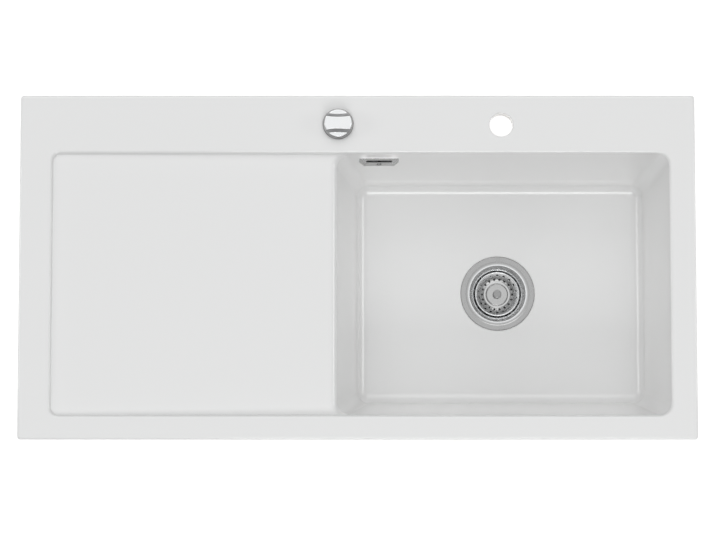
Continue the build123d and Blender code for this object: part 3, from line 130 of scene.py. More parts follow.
# Ceramic: the upright part of a face's direction where glaze goes over to bare clay, and the ragged
# height at which the glaze ends
GLAZED_SLOPE, BARE_SLOPE = 0.02, -0.03
GLAZE_END = (-0.0012, 0.0004)
GLAZE_IOR = 1.55
GLAZE_COAT = 1.0
GLAZE_COAT_ROUGHNESS = 0.1
CLAY_ROUGHNESS = 0.85

# Metal: the radii between which satin goes over to polish
FLANGE_POLISH = (0.0475, 0.0435)
BASKET_POLISH = (0.017, 0.023)
TURNED_ANISOTROPY = 0.35

# How much of the other steel's roughness the basket's smoother sheet has
BASKET_SMOOTHING = 0.8

# How much darker a finish gets in its second tone
CLAY_MOTTLE = 0.16
TURNED_MOTTLE = 0.1
POLISH_MOTTLE = 0.08
PLATED_MOTTLE = 0.08
PLASTIC_MOTTLE = 0.07

# How far roughness wanders: metal in shares of its own, glaze and plastic by steps, rubber outright
TURNED_BLUR = (0.8, 1.25)
PLATED_BLUR = (0.75, 1.35)
GLAZE_BLUR = (-0.02, 0.02)
PLASTIC_BLUR = (-0.05, 0.06)
RUBBER_BLUR = (0.7, 0.92)

# Depths of the finest surface grain, in metres
CLAY_PITS = 0.0004
TURNED_GROOVE = 0.000003
KNOB_GROOVE = 0.000001
PLATED_SCUFF = 0.000001
PLASTIC_PEBBLE = 0.00003
RUBBER_GRAIN = 0.00005

# Dust on rubber: how much it lightens the colour, and the grey that it adds
DUST_SHARE, DUST_GREY = 1.6, 0.01

# Concentric marks of turned metal, to the metre
TURNED_RINGS = 2600.0
BASKET_RINGS = 1800.0
KNOB_RINGS = 3000.0

# Fineness of the round shapes, in steps to a turn
TUBE_STEPS = 120
THREAD_STEPS = 48
FINE_THREAD_STEPS = 32

# Camera: the point of the rim in the middle of the picture, the sensor in millimetres, and the
# range that is seen
PICTURE_MIDDLE = (0.0005, -0.0052)
SENSOR_WIDTH = 36.0
NEAR_LIMIT, FAR_LIMIT = 0.05, 100.0

# Softboxes: side, place, what it faces, width and height; the setting of that name is its power
SOFTBOXES = [
    ("back", (-0.1, 2.3, 2.4), (0.1, 0.0, 0.0), 2.8, 2.2),
    ("front", (0.25, -2.1, 1.8), (0.2, 0.1, -0.15), 1.2, 1.1),
    ("left", (-2.5, 0.2, 1.3), (0.0, 0.1, -0.1), 0.6, 0.9),
    ("right", (2.5, 0.2, 1.3), (0.2, 0.1, -0.1), 0.6, 0.9),
]

# Air: the setting that gives the light at each height of the sky, from horizon 0 to overhead 1
SKY_LEVELS = [
    (0.0, "horizon"),
    (0.6, "sky"),
    (0.85, "zenith"),
    (0.95, "zenith"),
    (0.98, "overhead"),
]
AIR_COLOUR = (0.985, 0.995, 1.0, 1)
SEEN_AIR = 1.0

# Floor: half its width, its gap under the sink, its two tones and its roughness
FLOOR_REACH = 30.0
FLOOR_GAP = 0.0005
FLOOR_TONES = ((0.9, 0.9, 0.9), (0.87, 0.87, 0.87))
FLOOR_ROUGHNESS = 0.9


# ---- Node tree helpers ---------------------------------------------------------------------------
def new_material(name):
    """A node material with one shader, and that shader."""
    material = bpy.data.materials.new(name)
    material.use_nodes = True
    return material, material.node_tree.nodes["Principled BSDF"]


def add_node(owner, kind, inputs=None, **settings):
    """A node of a material or world, with its settings and the values or links of its inputs."""
    node = owner.node_tree.nodes.new(kind)
    for key, value in settings.items():
        setattr(node, key, value)
    for key, value in (inputs or {}).items():
        if isinstance(value, bpy.types.NodeSocket):
            link(owner, value, node.inputs[key])
        else:
            node.inputs[key].default_value = value
    return node


def link(owner, output, socket):
    """Joins an output to an input."""
    owner.node_tree.links.new(output, socket)


def place(material, centre=(0, 0, 0)):
    """Coordinates in metres that move with the piece, counted from centre."""
    coordinates = add_node(material, "ShaderNodeTexCoord")
    mapping = add_node(
        material,
        "ShaderNodeMapping",
        {"Vector": coordinates.outputs["Object"], "Location": [-c for c in centre]},
    )
    return mapping.outputs["Vector"]


def split(owner, vector):
    """The X, Y and Z outputs of a vector."""
    return add_node(owner, "ShaderNodeSeparateXYZ", {"Vector": vector}).outputs


def calculate(material, operation, first, second):
    """Result of one operation on two values."""
    node = add_node(material, "ShaderNodeMath", {0: first, 1: second}, operation=operation)
    return node.outputs["Value"]


def noise(material, vector, scale, detail=2.0, roughness=0.5):
    """Soft three-dimensional noise from 0 to 1, scale patches to the metre."""
    node = add_node(
        material,
        "ShaderNodeTexNoise",
        {"Vector": vector, "Scale": scale, "Detail": detail, "Roughness": roughness},
    )
    return node.outputs["Fac"]


def spread(material, value, low, high, start=0.3, end=0.7, curve="LINEAR"):
    """Maps a value that runs from start to end onto the range from low to high."""
    node = add_node(
        material,
        "ShaderNodeMapRange",
        {"Value": value, "From Min": start, "From Max": end, "To Min": low, "To Max": high},
        interpolation_type=curve,
    )
    return node.outputs["Result"]


def mix(material, share, first, second):
    """Colour between two colours, by share."""
    node = add_node(
        material,
        "ShaderNodeMix",
        {"Factor": share, "A": first, "B": second},
        data_type="RGBA",
    )
    return node.outputs["Result"]


def two_tone(material, value, first, second, start=0.3, end=0.7):
    """Colour that drifts between two tones."""
    share = spread(material, value, 0.0, 1.0, start, end)
    return mix(material, share, (*first, 1), (*second, 1))


def relief(material, height, distance, under=None):
    """Bump of the given depth in metres."""
    node = add_node(material, "ShaderNodeBump", {"Height": height, "Distance": distance})
    if under is not None:
        link(material, under, node.inputs["Normal"])
    return node.outputs["Normal"]


def darker(colour, share):
    """The same colour, darker by share."""
    return tuple(c * (1 - share) for c in colour)


def wear(names, material):
    """Gives frame nodes their material."""
    for name in names:
        slots = NODES[name].data.materials
        slots.clear()
        slots.append(material)


# ---- Mesh helpers --------------------------------------------------------------------------------
def square_to(along):
    """Two directions square to a line and to each other, right-handed with it."""
    across = along.orthogonal().normalized()
    return across, along.cross(across)


def lathe(shape, foot, along, outline):
    """Revolves a closed outline of (radius, height) points about the line from foot."""
    across, over = square_to(along)
    rings = []
    for i in range(TUBE_STEPS):
        turn = 2 * math.pi * i / TUBE_STEPS
        out = across * math.cos(turn) + over * math.sin(turn)
        rings.append([shape.verts.new(foot + out * r + along * h) for r, h in outline])
    count = len(outline)
    for i in range(TUBE_STEPS):
        here, there = rings[i], rings[(i + 1) % TUBE_STEPS]
        for j in range(count):
            k = (j + 1) % count
            shape.faces.new((here[j], here[k], there[k], there[j]))


def thread_ridge(shape, foot, along, root, crest, pitch, length, steps=THREAD_STEPS):
    """Winds one right-hand thread ridge about the line from foot.

    It stays half a pitch inside the length at both ends, and runs out there over half a turn.
    """
    across, over = square_to(along)
    turns = length / pitch - 1
    count = int(turns * steps)
    sunk = (crest - root) * RIDGE_SUNK
    before = None
    for i in range(count + 1):
        turn = 2 * math.pi * i / steps
        out = across * math.cos(turn) + over * math.sin(turn)
        rise = foot + along * (pitch * (0.5 + i / steps))
        fade = min(1.0, 2 * i / steps, 2 * (count - i) / steps)
        tip = root - sunk + (crest - root + sunk) * fade
        section = [
            shape.verts.new(rise - along * pitch * RIDGE_FOOT + out * (root - sunk)),
            shape.verts.new(rise - along * pitch * RIDGE_TIP + out * tip),
            shape.verts.new(rise + along * pitch * RIDGE_TIP + out * tip),
            shape.verts.new(rise + along * pitch * RIDGE_FOOT + out * (root - sunk)),
        ]
        if before:
            for j in range(4):
                k = (j + 1) % 4
                shape.faces.new((before[j], before[k], section[k], section[j]))
        else:
            shape.faces.new(section)
        before = section
    shape.faces.new(before[::-1])


def made(shape, name, material, body):
    """Turns a bmesh into a piece that rides on a body, smooth but for its sharp edges."""
    bmesh.ops.recalc_face_normals(shape, faces=shape.faces)
    limit = math.radians(SHARP_EDGE)
    for face in shape.faces:
        face.smooth = True
    for edge in shape.edges:
        edge.smooth = len(edge.link_faces) == 2 and edge.calc_face_angle(0.0) < limit
    mesh = bpy.data.meshes.new(name)
    shape.to_mesh(mesh)
    shape.free()
    mesh.materials.append(material)
    piece = bpy.data.objects.new(name, mesh)
    bpy.context.scene.collection.objects.link(piece)
    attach(piece, body)
    return piece


# ---- Finishes ------------------------------------------------------------------------------------
def unglazed(material, coordinates):
    """Share of bare clay: faces that look down, below the ragged line where the glaze ends."""
    geometry = add_node(material, "ShaderNodeNewGeometry")
    facing = split(material, geometry.outputs["True Normal"])
    under = spread(material, facing["Z"], 0.0, 1.0, GLAZED_SLOPE, BARE_SLOPE)
    ragged = noise(material, coordinates, scale=90.0, detail=3.0)
    end = spread(material, ragged, *GLAZE_END)
    below = calculate(material, "LESS_THAN", split(material, coordinates)["Z"], end)
    return calculate(material, "MULTIPLY", under, below)


def glazed_ceramic(settings):
    """White glaze with a faint waviness, and bare fired clay where the glaze ends underneath."""
    material, shader = new_material("glazed_ceramic")
    coordinates = place(material)
    bare = unglazed(material, coordinates)

    drift = noise(material, coordinates, scale=2.4)
    shade = darker(settings.glaze, settings.drift)
    glaze = two_tone(material, drift, settings.glaze, shade, start=0.1, end=0.9)
    grain = noise(material, coordinates, scale=420.0, detail=4.0, roughness=0.7)
    clay = two_tone(material, grain, settings.clay, darker(settings.clay, CLAY_MOTTLE))
    link(material, mix(material, bare, glaze, clay), shader.inputs["Base Color"])

    cloud = noise(material, coordinates, scale=11.0, detail=3.0)
    blur = [settings.roughness + step for step in GLAZE_BLUR]
    gloss = spread(material, cloud, *blur, start=0.1, end=0.9)
    rough = spread(material, bare, gloss, CLAY_ROUGHNESS, start=0.0, end=1.0)
    link(material, rough, shader.inputs["Roughness"])

    slow = noise(material, coordinates, scale=16.0, detail=1.0)
    waves = relief(material, slow, settings.wave)
    dimples = noise(material, coordinates, scale=260.0)
    peel = relief(material, dimples, settings.peel, under=waves)
    pits = calculate(material, "MULTIPLY", grain, bare)
    link(material, relief(material, pits, CLAY_PITS, under=peel), shader.inputs["Normal"])
    shader.inputs["IOR"].default_value = GLAZE_IOR
    shader.inputs["Coat Weight"].default_value = GLAZE_COAT
    shader.inputs["Coat Roughness"].default_value = GLAZE_COAT_ROUGHNESS
    return material


def turned_metal(
    name, colour, roughness, centre, groove=TURNED_GROOVE, rings=TURNED_RINGS, polish=None
):
    """Metal with the fine concentric marks of spinning or turning about an upright axis.

    polish is (radius from, radius to, colour), where the satin middle goes over to a polished rim.
    """
    material, shader = new_material(name)
    coordinates = place(material, centre)
    parts = split(material, coordinates)
    flat = add_node(material, "ShaderNodeCombineXYZ", {"X": parts["X"], "Y": parts["Y"]})
    reach = add_node(
        material,
        "ShaderNodeVectorMath",
        {0: flat.outputs["Vector"]},
        operation="LENGTH",
    ).outputs["Value"]
    marks = add_node(
        material,
        "ShaderNodeTexNoise",
        {"W": reach, "Scale": rings, "Detail": 2.0, "Roughness": 0.6},
        noise_dimensions="1D",
    ).outputs["Fac"]
    tone = two_tone(material, marks, colour, darker(colour, TURNED_MOTTLE))
    if polish:
        inner, outer, bright = polish
        buffed = spread(material, reach, 0.0, 1.0, inner, outer, curve="SMOOTHSTEP")
        lit = two_tone(material, marks, bright, darker(bright, POLISH_MOTTLE))
        tone = mix(material, buffed, tone, lit)
    link(material, tone, shader.inputs["Base Color"])
    haze = noise(material, coordinates, scale=60.0, detail=3.0)
    blur = [roughness * share for share in TURNED_BLUR]
    link(material, spread(material, haze, *blur), shader.inputs["Roughness"])
    link(material, relief(material, marks, groove), shader.inputs["Normal"])
    shader.inputs["Metallic"].default_value = 1.0
    shader.inputs["Anisotropic"].default_value = TURNED_ANISOTROPY
    return material


def plated_metal(name, colour, roughness):
    """Plated or machined metal with small scuffs and a faint cloudiness."""
    material, shader = new_material(name)
    coordinates = place(material)
    cloud = noise(material, coordinates, scale=70.0, detail=3.0)
    fine = noise(material, coordinates, scale=900.0, detail=4.0, roughness=0.7)
    tone = two_tone(material, cloud, colour, darker(colour, PLATED_MOTTLE))
    link(material, tone, shader.inputs["Base Color"])
    blur = [roughness * share for share in PLATED_BLUR]
    link(material, spread(material, fine, *blur), shader.inputs["Roughness"])
    link(material, relief(material, fine, PLATED_SCUFF), shader.inputs["Normal"])
    shader.inputs["Metallic"].default_value = 1.0
    return material


def moulded_plastic(name, colour, roughness, coat=0.0):
    """Injection-moulded plastic: slightly uneven tone, fine pebbled grain."""
    material, shader = new_material(name)
    coordinates = place(material)
    flow = noise(material, coordinates, scale=22.0)
    pebble = noise(material, coordinates, scale=1300.0)
    tone = two_tone(material, flow, colour, darker(colour, PLASTIC_MOTTLE))
    link(material, tone, shader.inputs["Base Color"])
    blur = [roughness + step for step in PLASTIC_BLUR]
    link(material, spread(material, flow, *blur), shader.inputs["Roughness"])
    link(material, relief(material, pebble, PLASTIC_PEBBLE), shader.inputs["Normal"])
    shader.inputs["Coat Weight"].default_value = coat
    return material


def rubber(name, colour):
    """Matt rubber with a dusty bloom."""
    material, shader = new_material(name)
    coordinates = place(material)
    bloom = noise(material, coordinates, scale=160.0, detail=4.0, roughness=0.65)
    fine = noise(material, coordinates, scale=1800.0)
    dusty = tuple(min(1.0, c * DUST_SHARE + DUST_GREY) for c in colour)
    tone = two_tone(material, bloom, colour, dusty, start=0.45, end=0.85)
    link(material, tone, shader.inputs["Base Color"])
    link(material, spread(material, bloom, *RUBBER_BLUR), shader.inputs["Roughness"])
    link(material, relief(material, fine, RUBBER_GRAIN), shader.inputs["Normal"])
    return material


# ---- Settings ------------------------------------------------------------------------------------
class CeramicSettings(bpy.types.PropertyGroup):
    """The glaze, and the clay where it ends"""

    glaze: bpy.props.FloatVectorProperty(
        name="Glaze",
        description="Colour of the glaze",
        subtype="COLOR",
        size=3,
        min=0.0,
        max=1.0,
        default=(0.905, 0.904, 0.899),
    )
    clay: bpy.props.FloatVectorProperty(
        name="Clay",
        description="Colour of the unglazed underside",
        subtype="COLOR",
        size=3,
        min=0.0,
        max=1.0,
        default=(0.42, 0.385, 0.335),
    )
    drift: bpy.props.FloatProperty(
        name="Tone drift",
        description="How far the glaze's tone wanders",
        subtype="FACTOR",
        min=0.0,
        max=0.2,
        default=0.008,
    )
    roughness: bpy.props.FloatProperty(
        name="Glaze roughness",
        description="Blur of reflections in the glaze",
        subtype="FACTOR",
        min=0.0,
        max=1.0,
        default=0.35,
    )
    wave: bpy.props.FloatProperty(
        name="Waviness",
        description="Depth of the fired surface's slow waves",
        subtype="DISTANCE",
        unit="LENGTH",
        default=0.00008,
        precision=5,
    )
    peel: bpy.props.FloatProperty(
        name="Orange peel",
        description="Depth of the glaze's fine dimples",
        subtype="DISTANCE",
        unit="LENGTH",
        default=0.00002,
        precision=6,
    )


class MetalSettings(bpy.types.PropertyGroup):
    """The metals, and how blurred their reflections are"""

    steel: bpy.props.FloatVectorProperty(
        name="Stainless steel",
        description="Colour of the cup, the cover and the small steel parts",
        subtype="COLOR",
        size=3,
        min=0.0,
        max=1.0,
        default=(0.47, 0.468, 0.465),
    )
    pressed: bpy.props.FloatVectorProperty(
        name="Basket steel",
        description="Colour of the pressed sheet in the basket's middle",
        subtype="COLOR",
        size=3,
        min=0.0,
        max=1.0,
        default=(0.56, 0.557, 0.553),
    )
    chrome: bpy.props.FloatVectorProperty(
        name="Chrome",
        description="Colour of the knob and of the polished rims",
        subtype="COLOR",
        size=3,
        min=0.0,
        max=1.0,
        default=(0.93, 0.935, 0.94),
    )
    brass: bpy.props.FloatVectorProperty(
        name="Brass",
        description="Colour of the turned brass parts",
        subtype="COLOR",
        size=3,
        min=0.0,
        max=1.0,
        default=(0.72, 0.52, 0.25),
    )
    steel_roughness: bpy.props.FloatProperty(
        name="Steel roughness",
        description="Blur of reflections in the steel",
        subtype="FACTOR",
        min=0.0,
        max=1.0,
        default=0.24,
    )
    chrome_roughness: bpy.props.FloatProperty(
        name="Chrome roughness",
        description="Blur of reflections in the knob",
        subtype="FACTOR",
        min=0.0,
        max=1.0,
        default=0.13,
    )


class PlasticSettings(bpy.types.PropertyGroup):
    """The plastics, the rubber and the silicone"""

    waste: bpy.props.FloatVectorProperty(
        name="Waste body",
        description="Colour of the waste body, elbow and nuts",
        subtype="COLOR",
        size=3,
        min=0.0,
        max=1.0,
        default=(0.74, 0.74, 0.73),
    )
    hose: bpy.props.FloatVectorProperty(
        name="Hose",
        description="Colour of the ribbed overflow hose",
        subtype="COLOR",
        size=3,
        min=0.0,
        max=1.0,
        default=(0.56, 0.57, 0.58),
    )
    dark: bpy.props.FloatVectorProperty(
        name="Dark plastic",
        description="Colour of the rocker's finger and crank",
        subtype="COLOR",
        size=3,
        min=0.0,
        max=1.0,
        default=(0.045, 0.047, 0.05),
    )
    cable: bpy.props.FloatVectorProperty(
        name="Cable sheath",
        description="Colour of the cable's outer sheath",
        subtype="COLOR",
        size=3,
        min=0.0,
        max=1.0,
        default=(0.02, 0.02, 0.022),
    )
    seal: bpy.props.FloatVectorProperty(
        name="Seals",
        description="Colour of the rubber seals",
        subtype="COLOR",
        size=3,
        min=0.0,
        max=1.0,
        default=(0.035, 0.035, 0.036),
    )
    silicone: bpy.props.FloatVectorProperty(
        name="Flange seal",
        description="Colour of the pale seal under the strainer's flange",
        subtype="COLOR",
        size=3,
        min=0.0,
        max=1.0,
        default=(0.42, 0.42, 0.41),
    )


class ThreadSettings(bpy.types.PropertyGroup):
    """Pitch and depth of the threads"""

    outlet_pitch: bpy.props.FloatProperty(
        name="Outlet pitch",
        description="Pitch of the pipe thread on the outlet",
        subtype="DISTANCE",
        unit="LENGTH",
        default=0.002309,
        precision=6,
    )
    outlet_depth: bpy.props.FloatProperty(
        name="Outlet depth",
        description="Depth of the pipe thread on the outlet",
        subtype="DISTANCE",
        unit="LENGTH",
        default=0.00115,
        precision=5,
    )
    shank_pitch: bpy.props.FloatProperty(
        name="Shank pitch",
        description="Pitch of the thread on the control's shank",
        subtype="DISTANCE",
        unit="LENGTH",
        default=0.0015,
        precision=5,
    )
    shank_depth: bpy.props.FloatProperty(
        name="Shank depth",
        description="How far that thread stands out of the housing",
        subtype="DISTANCE",
        unit="LENGTH",
        default=0.0004,
        precision=5,
    )
    adjuster_pitch: bpy.props.FloatProperty(
        name="Adjuster pitch",
        description="Pitch of the fine thread on the cable adjuster",
        subtype="DISTANCE",
        unit="LENGTH",
        default=0.001,
        precision=5,
    )
    adjuster_depth: bpy.props.FloatProperty(
        name="Adjuster depth",
        description="How far that thread stands out of the adjuster",
        subtype="DISTANCE",
        unit="LENGTH",
        default=0.00025,
        precision=5,
    )


class StageSettings(bpy.types.PropertyGroup):
    """The camera, the lights and the floor"""

    camera_height: bpy.props.FloatProperty(
        name="Camera height",
        description="Camera above the rim",
        subtype="DISTANCE",
        unit="LENGTH",
        default=3.8,
    )
    camera_forward: bpy.props.FloatProperty(
        name="Camera forward",
        description="Camera in front of the sink's middle",
        subtype="DISTANCE",
        unit="LENGTH",
        default=0.344,
    )
    picture_width: bpy.props.FloatProperty(
        name="Picture width",
        description="Breadth of the picture at the rim",
        subtype="DISTANCE",
        unit="LENGTH",
        default=1.0556,
    )
    overhead: bpy.props.FloatProperty(
        name="Overhead",
        description="Strength of the air's light straight above, which flat metal mirrors",
        min=0.0,
        default=0.98,
    )
    zenith: bpy.props.FloatProperty(
        name="Zenith",
        description="Strength of the air's light high up",
        min=0.0,
        default=0.71,
    )
    sky: bpy.props.FloatProperty(
        name="Sky",
        description="Strength of the air's light half-way up",
        min=0.0,
        default=0.21,
    )
    horizon: bpy.props.FloatProperty(
        name="Horizon",
        description="Strength of the air's light at the horizon",
        min=0.0,
        default=0.25,
    )
    back: bpy.props.FloatProperty(
        name="Back light",
        description="Power of the softbox behind",
        subtype="POWER",
        unit="POWER",
        default=26.0,
    )
    front: bpy.props.FloatProperty(
        name="Front light",
        description="Power of the softbox in front",
        subtype="POWER",
        unit="POWER",
        default=18.0,
    )
    left: bpy.props.FloatProperty(
        name="Left light",
        description="Power of the softbox on the left",
        subtype="POWER",
        unit="POWER",
        default=7.5,
    )
    right: bpy.props.FloatProperty(
        name="Right light",
        description="Power of the softbox on the right",
        subtype="POWER",
        unit="POWER",
        default=6.5,
    )
    floor_glow: bpy.props.FloatProperty(
        name="Floor glow",
        description="How bright the pale floor is by itself",
        min=0.0,
        default=0.5,
    )


# ---- Operators -----------------------------------------------------------------------------------
class SINK_OT_ceramic(bpy.types.Operator):
    """Glaze the sink body"""

    bl_idname = "sink.ceramic"
    bl_label = "Glaze the sink"

    def execute(self, context):
        wear(["sink_body"], glazed_ceramic(context.scene.sink_ceramic))
        return {"FINISHED"}


class SINK_OT_strainer(bpy.types.Operator):
    """Finish the strainer cup, the basket and what clamps them"""

    bl_idname = "sink.strainer"
    bl_label = "Finish the strainer"

    def execute(self, context):
        metal = context.scene.sink_metal
        spun = turned_metal(
            "spun_steel",
            metal.steel,
            metal.steel_roughness,
            WASTE_MIDDLE,
            polish=(*FLANGE_POLISH, metal.chrome),
        )
        pressed = turned_metal(
            "pressed_steel",
            metal.pressed,
            metal.steel_roughness * BASKET_SMOOTHING,
            WASTE_MIDDLE,
            rings=BASKET_RINGS,
            polish=(*BASKET_POLISH, metal.chrome),
        )
        grip = turned_metal(
            "grip_chrome",
            darker(metal.steel, share=0.2),
            metal.steel_roughness,
            WASTE_MIDDLE,
        )
        bright = plated_metal("bright_steel", metal.steel, roughness=0.2)
        seal = rubber("seal_rubber", context.scene.sink_plastic.seal)
        wear(["strainer_cup"], spun)
        wear(["strainer_basket"], pressed)
        wear(["basket_grip"], grip)
        wear(["clamping_screw", "lift_rod", "basket_stem"], bright)
        wear(["basket_seal", "waste_lower_seal", "gland_seal", "overflow_gasket"], seal)
        wear(["control_washer", "control_under_washer"], seal)
        wear(["waste_upper_seal"], rubber("silicone_seal", context.scene.sink_plastic.silicone))
        return {"FINISHED"}


class SINK_OT_waste(bpy.types.Operator):
    """Finish the plastic waste body, its nuts and the rocker"""

    bl_idname = "sink.waste"
    bl_label = "Finish the waste"

    def execute(self, context):
        plastic = context.scene.sink_plastic
        metal = context.scene.sink_metal
        white = moulded_plastic("waste_plastic", plastic.waste, roughness=0.42)
        dark = moulded_plastic("dark_plastic", plastic.dark, roughness=0.45)
        steel = plated_metal("rocker_steel", darker(metal.steel, share=0.1), roughness=0.3)
        wear(["waste_body", "outlet_tail", "overflow_elbow"], white)
        wear(["gland_nut", "upper_hose_nut", "lower_hose_nut", "cam_follower"], white)
        wear(["rocker_finger", "rocker_crank"], dark)
        wear(["rocker_shaft", "crank_clip"], steel)
        return {"FINISHED"}


class SINK_OT_overflow(bpy.types.Operator):
    """Finish the overflow cover, its screw and the ribbed hose"""

    bl_idname = "sink.overflow"
    bl_label = "Finish the overflow"

    def execute(self, context):
        metal = context.scene.sink_metal
        plastic = context.scene.sink_plastic
        hose = moulded_plastic("hose_plastic", plastic.hose, roughness=0.38, coat=0.15)
        wear(["overflow_cover"], plated_metal("cover_steel", metal.steel, metal.steel_roughness))
        wear(["cover_screw"], plated_metal("screw_steel", metal.steel, roughness=0.2))
        wear(["overflow_hose"], hose)
        return {"FINISHED"}


class SINK_OT_control(bpy.types.Operator):
    """Finish the rotary knob, its ring and the turned brass under the ledge"""

    bl_idname = "sink.control"
    bl_label = "Finish the control"

    def execute(self, context):
        metal = context.scene.sink_metal
        chrome = turned_metal(
            "knob_chrome",
            metal.chrome,
            metal.chrome_roughness,
            CONTROL_MIDDLE,
            groove=KNOB_GROOVE,
            rings=KNOB_RINGS,
        )
        ring = turned_metal(
            "ring_chrome",
            metal.steel,
            metal.steel_roughness,
            CONTROL_MIDDLE,
            rings=KNOB_RINGS,
        )
        brass = plated_metal("turned_brass", metal.brass, roughness=0.28)
        wear(["control_knob"], chrome)
        wear(["control_escutcheon"], ring)
        wear(["control_housing", "control_cap", "control_nut", "control_spindle"], brass)
        wear(["cable_adjuster", "cable_nipple"], brass)
        return {"FINISHED"}


class SINK_OT_cable(bpy.types.Operator):
    """Finish the cable's sheath, its wire and the small steel parts of the control"""

    bl_idname = "sink.cable"
    bl_label = "Finish the cable"

    def execute(self, context):
        metal = context.scene.sink_metal
        plastic = context.scene.sink_plastic
        steel = plated_metal("drawn_steel", metal.steel, roughness=0.25)
        wear(["cable_sheath"], moulded_plastic("sheath_plastic", plastic.cable, roughness=0.4))
        wear(["upper_wire", "lower_wire", "follower_pin", "knob_grub_screw"], steel)
        wear(["front_lock_nut", "back_lock_nut"], steel)
        return {"FINISHED"}


def cut_outlet(size):
    """Outlet tube with its head in the waste body's collar and a pipe thread for the trap's nut."""
    foot = Vector((WASTE_MIDDLE.x, WASTE_MIDDLE.y, TAIL_LOW.z))
    up = Vector((0, 0, 1))
    head = (TAIL_HIGH.x - TAIL_LOW.x) / 2
    crest = head - TAIL_HEAD
    root = crest - size.outlet_depth
    bore = crest - OUTLET_WALL
    height = TAIL_HIGH.z - TAIL_LOW.z
    outline = [
        (bore, OUTLET_CHAMFER),
        (bore + OUTLET_CHAMFER, 0.0),
        (root - OUTLET_CHAMFER, 0.0),
        (root, OUTLET_CHAMFER),
        (root, height - COLLAR_HEIGHT),
        (head, height - COLLAR_HEIGHT),
        (head, height),
        (bore, height),
    ]
    shape = bmesh.new()
    lathe(shape, foot, up, outline)
    thread_ridge(shape, foot, up, root, crest, size.outlet_pitch, height - COLLAR_HEIGHT)
    white = bpy.data.materials["waste_plastic"]
    tail = made(shape, "threaded_outlet", white, "sink")
    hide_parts("outlet_tail")


def cut_shank(size):
    """Thread of the control's shank, from its foot to the top of its nut."""
    foot = Vector((CONTROL_MIDDLE.x, CONTROL_MIDDLE.y, SHANK_FOOT))
    up = Vector((0, 0, 1))
    crest = SHANK_RADIUS + size.shank_depth
    shape = bmesh.new()
    thread_ridge(shape, foot, up, SHANK_RADIUS, crest, size.shank_pitch, SHANK_TOP - SHANK_FOOT)
    made(shape, "shank_thread", bpy.data.materials["turned_brass"], "sink")


def cut_adjuster(size):
    """Fine thread of the cable adjuster, from its collar to its end."""
    start = ADJUSTER_LOW.x + ADJUSTER_COLLAR
    foot = Vector((start, ADJUSTER_MIDDLE.y, ADJUSTER_MIDDLE.z))
    ahead = Vector((1, 0, 0))
    crest = ADJUSTER_RADIUS + size.adjuster_depth
    length = ADJUSTER_HIGH.x - start
    shape = bmesh.new()
    thread_ridge(
        shape,
        foot,
        ahead,
        ADJUSTER_RADIUS,
        crest,
        size.adjuster_pitch,
        length,
        steps=FINE_THREAD_STEPS,
    )
    made(shape, "adjuster_thread", bpy.data.materials["turned_brass"], "sink")


class SINK_OT_threads(bpy.types.Operator):
    """Cut the threads of the outlet, the control's shank and the cable adjuster"""

    bl_idname = "sink.threads"
    bl_label = "Cut the threads"

    def execute(self, context):
        size = context.scene.sink_thread
        cut_outlet(size)
        cut_shank(size)
        cut_adjuster(size)
        return {"FINISHED"}


def put(name, data, location, aim):
    """Camera or lamp that faces aim."""
    thing = bpy.data.objects.new(name, data)
    bpy.context.scene.collection.objects.link(thing)
    thing.location = location
    thing.rotation_mode = "QUATERNION"
    thing.rotation_quaternion = (Vector(aim) - thing.location).to_track_quat("-Z", "Y")
    return thing


def studio_camera(scene, stage):
    """Camera high above the rim and a little in front of the sink's middle."""
    across, along = PICTURE_MIDDLE
    aim = Vector((across, along, RIM))
    location = Vector((across, -stage.camera_forward, RIM + stage.camera_height))
    data = bpy.data.cameras.new("studio_camera")
    data.sensor_width = SENSOR_WIDTH
    data.lens = SENSOR_WIDTH * (aim - location).length / stage.picture_width
    data.clip_start = NEAR_LIMIT
    data.clip_end = FAR_LIMIT
    scene.camera = put("studio_camera", data, location, aim)


def studio_air(scene, stage):
    """Light from all round, strongest overhead, and plain white where the camera sees it."""
    world = bpy.data.worlds.new("studio_air")
    scene.world = world
    world.use_nodes = True
    direction = add_node(world, "ShaderNodeTexCoord").outputs["Generated"]
    climb = add_node(world, "ShaderNodeValToRGB", {"Fac": split(world, direction)["Z"]})
    climb.color_ramp.interpolation = "EASE"
    stops = climb.color_ramp.elements
    while len(stops) < len(SKY_LEVELS):
        stops.new(1.0)
    for stop, (height, setting) in zip(stops, SKY_LEVELS):
        level = getattr(stage, setting)
        stop.position = height
        stop.color = (level, level, level, 1)
    seen = add_node(world, "ShaderNodeLightPath").outputs["Is Camera Ray"]
    strength = add_node(
        world,
        "ShaderNodeMix",
        {"Factor": seen, "A": climb.outputs["Color"], "B": SEEN_AIR},
    )
    background = world.node_tree.nodes["Background"]
    background.inputs["Color"].default_value = AIR_COLOUR
    link(world, strength.outputs["Result"], background.inputs["Strength"])


def softbox(name, location, aim, width, height, power):
    """Area light that faces aim and stays out of the picture."""
    data = bpy.data.lights.new(name, "AREA")
    data.shape = "RECTANGLE"
    data.size = width
    data.size_y = height
    data.energy = power
    put(name, data, location, aim).visible_camera = False


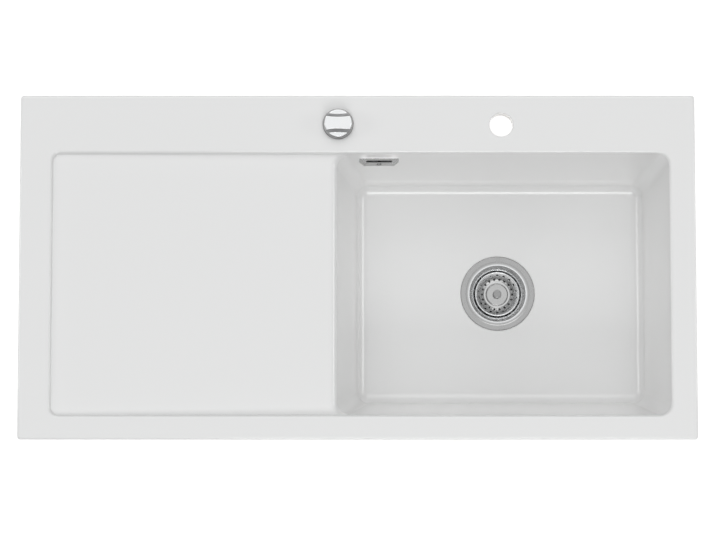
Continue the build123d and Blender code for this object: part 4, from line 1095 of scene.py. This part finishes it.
def pale_floor(scene, stage):
    """Wide matt floor just under the sink's lowest point."""
    low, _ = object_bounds()
    mesh = bpy.data.meshes.new("pale_floor")
    shape = bmesh.new()
    bmesh.ops.create_grid(shape, x_segments=2, y_segments=2, size=FLOOR_REACH)
    shape.to_mesh(mesh)
    shape.free()
    ground = bpy.data.objects.new("pale_floor", mesh)
    ground.location = (0, 0, low.z - FLOOR_GAP)
    scene.collection.objects.link(ground)
    material, shader = new_material("pale_floor")
    drift = noise(material, place(material), scale=0.8)
    link(material, two_tone(material, drift, *FLOOR_TONES), shader.inputs["Base Color"])
    shader.inputs["Roughness"].default_value = FLOOR_ROUGHNESS
    shader.inputs["Emission Color"].default_value = (1, 1, 1, 1)
    shader.inputs["Emission Strength"].default_value = stage.floor_glow
    mesh.materials.append(material)
    ground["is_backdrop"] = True


class SINK_OT_stage(bpy.types.Operator):
    """Make the camera, the lights and the pale floor"""

    bl_idname = "sink.stage"
    bl_label = "Make the stage"

    def execute(self, context):
        scene = context.scene
        stage = scene.sink_stage
        scene.view_settings.view_transform = "Standard"
        studio_camera(scene, stage)
        studio_air(scene, stage)
        for side, location, aim, width, height in SOFTBOXES:
            softbox(f"{side}_softbox", location, aim, width, height, getattr(stage, side))
        pale_floor(scene, stage)
        return {"FINISHED"}


class SINK_PT_pieces(bpy.types.Panel):
    """Lists what can be built and its settings"""

    bl_label = "Kitchen sink"
    bl_space_type = "VIEW_3D"
    bl_region_type = "UI"
    bl_category = "Sink"

    def draw(self, context):
        for group, _, operators in GROUPS:
            box = self.layout.box()
            settings = getattr(context.scene, group)
            for name in settings.bl_rna.properties.keys():
                if name not in ("rna_type", "name"):
                    box.prop(settings, name)
            for operator in operators:
                box.operator(operator.bl_idname)


# Each group of settings, its class and the operators that it belongs to
GROUPS = [
    ("sink_ceramic", CeramicSettings, [SINK_OT_ceramic]),
    (
        "sink_metal",
        MetalSettings,
        [SINK_OT_strainer, SINK_OT_overflow, SINK_OT_control, SINK_OT_cable],
    ),
    ("sink_plastic", PlasticSettings, [SINK_OT_waste]),
    ("sink_thread", ThreadSettings, [SINK_OT_threads]),
    ("sink_stage", StageSettings, [SINK_OT_stage]),
]
CLASSES = [settings for _, settings, _ in GROUPS]
CLASSES += [operator for _, _, operators in GROUPS for operator in operators]
CLASSES.append(SINK_PT_pieces)


def register():
    """Registers the settings, the operators and the panel."""
    for cls in CLASSES:
        bpy.utils.register_class(cls)
    for name, settings, _ in GROUPS:
        setattr(bpy.types.Scene, name, bpy.props.PointerProperty(type=settings))


def unregister():
    """Takes them out again."""
    for name, _, _ in GROUPS:
        delattr(bpy.types.Scene, name)
    for cls in reversed(CLASSES):
        bpy.utils.unregister_class(cls)


def main():
    """Dresses the frame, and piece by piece."""
    for item in list(bpy.data.objects):
        if item.type in ("CAMERA", "LIGHT") or item.name == "Cube":
            bpy.data.objects.remove(item)
    register()
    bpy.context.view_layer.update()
    bpy.ops.sink.ceramic()
    bpy.ops.sink.strainer()
    bpy.ops.sink.waste()
    bpy.ops.sink.overflow()
    bpy.ops.sink.control()
    bpy.ops.sink.cable()
    bpy.ops.sink.threads()
    bpy.ops.sink.stage()


if __name__ == "__main__":
    main()
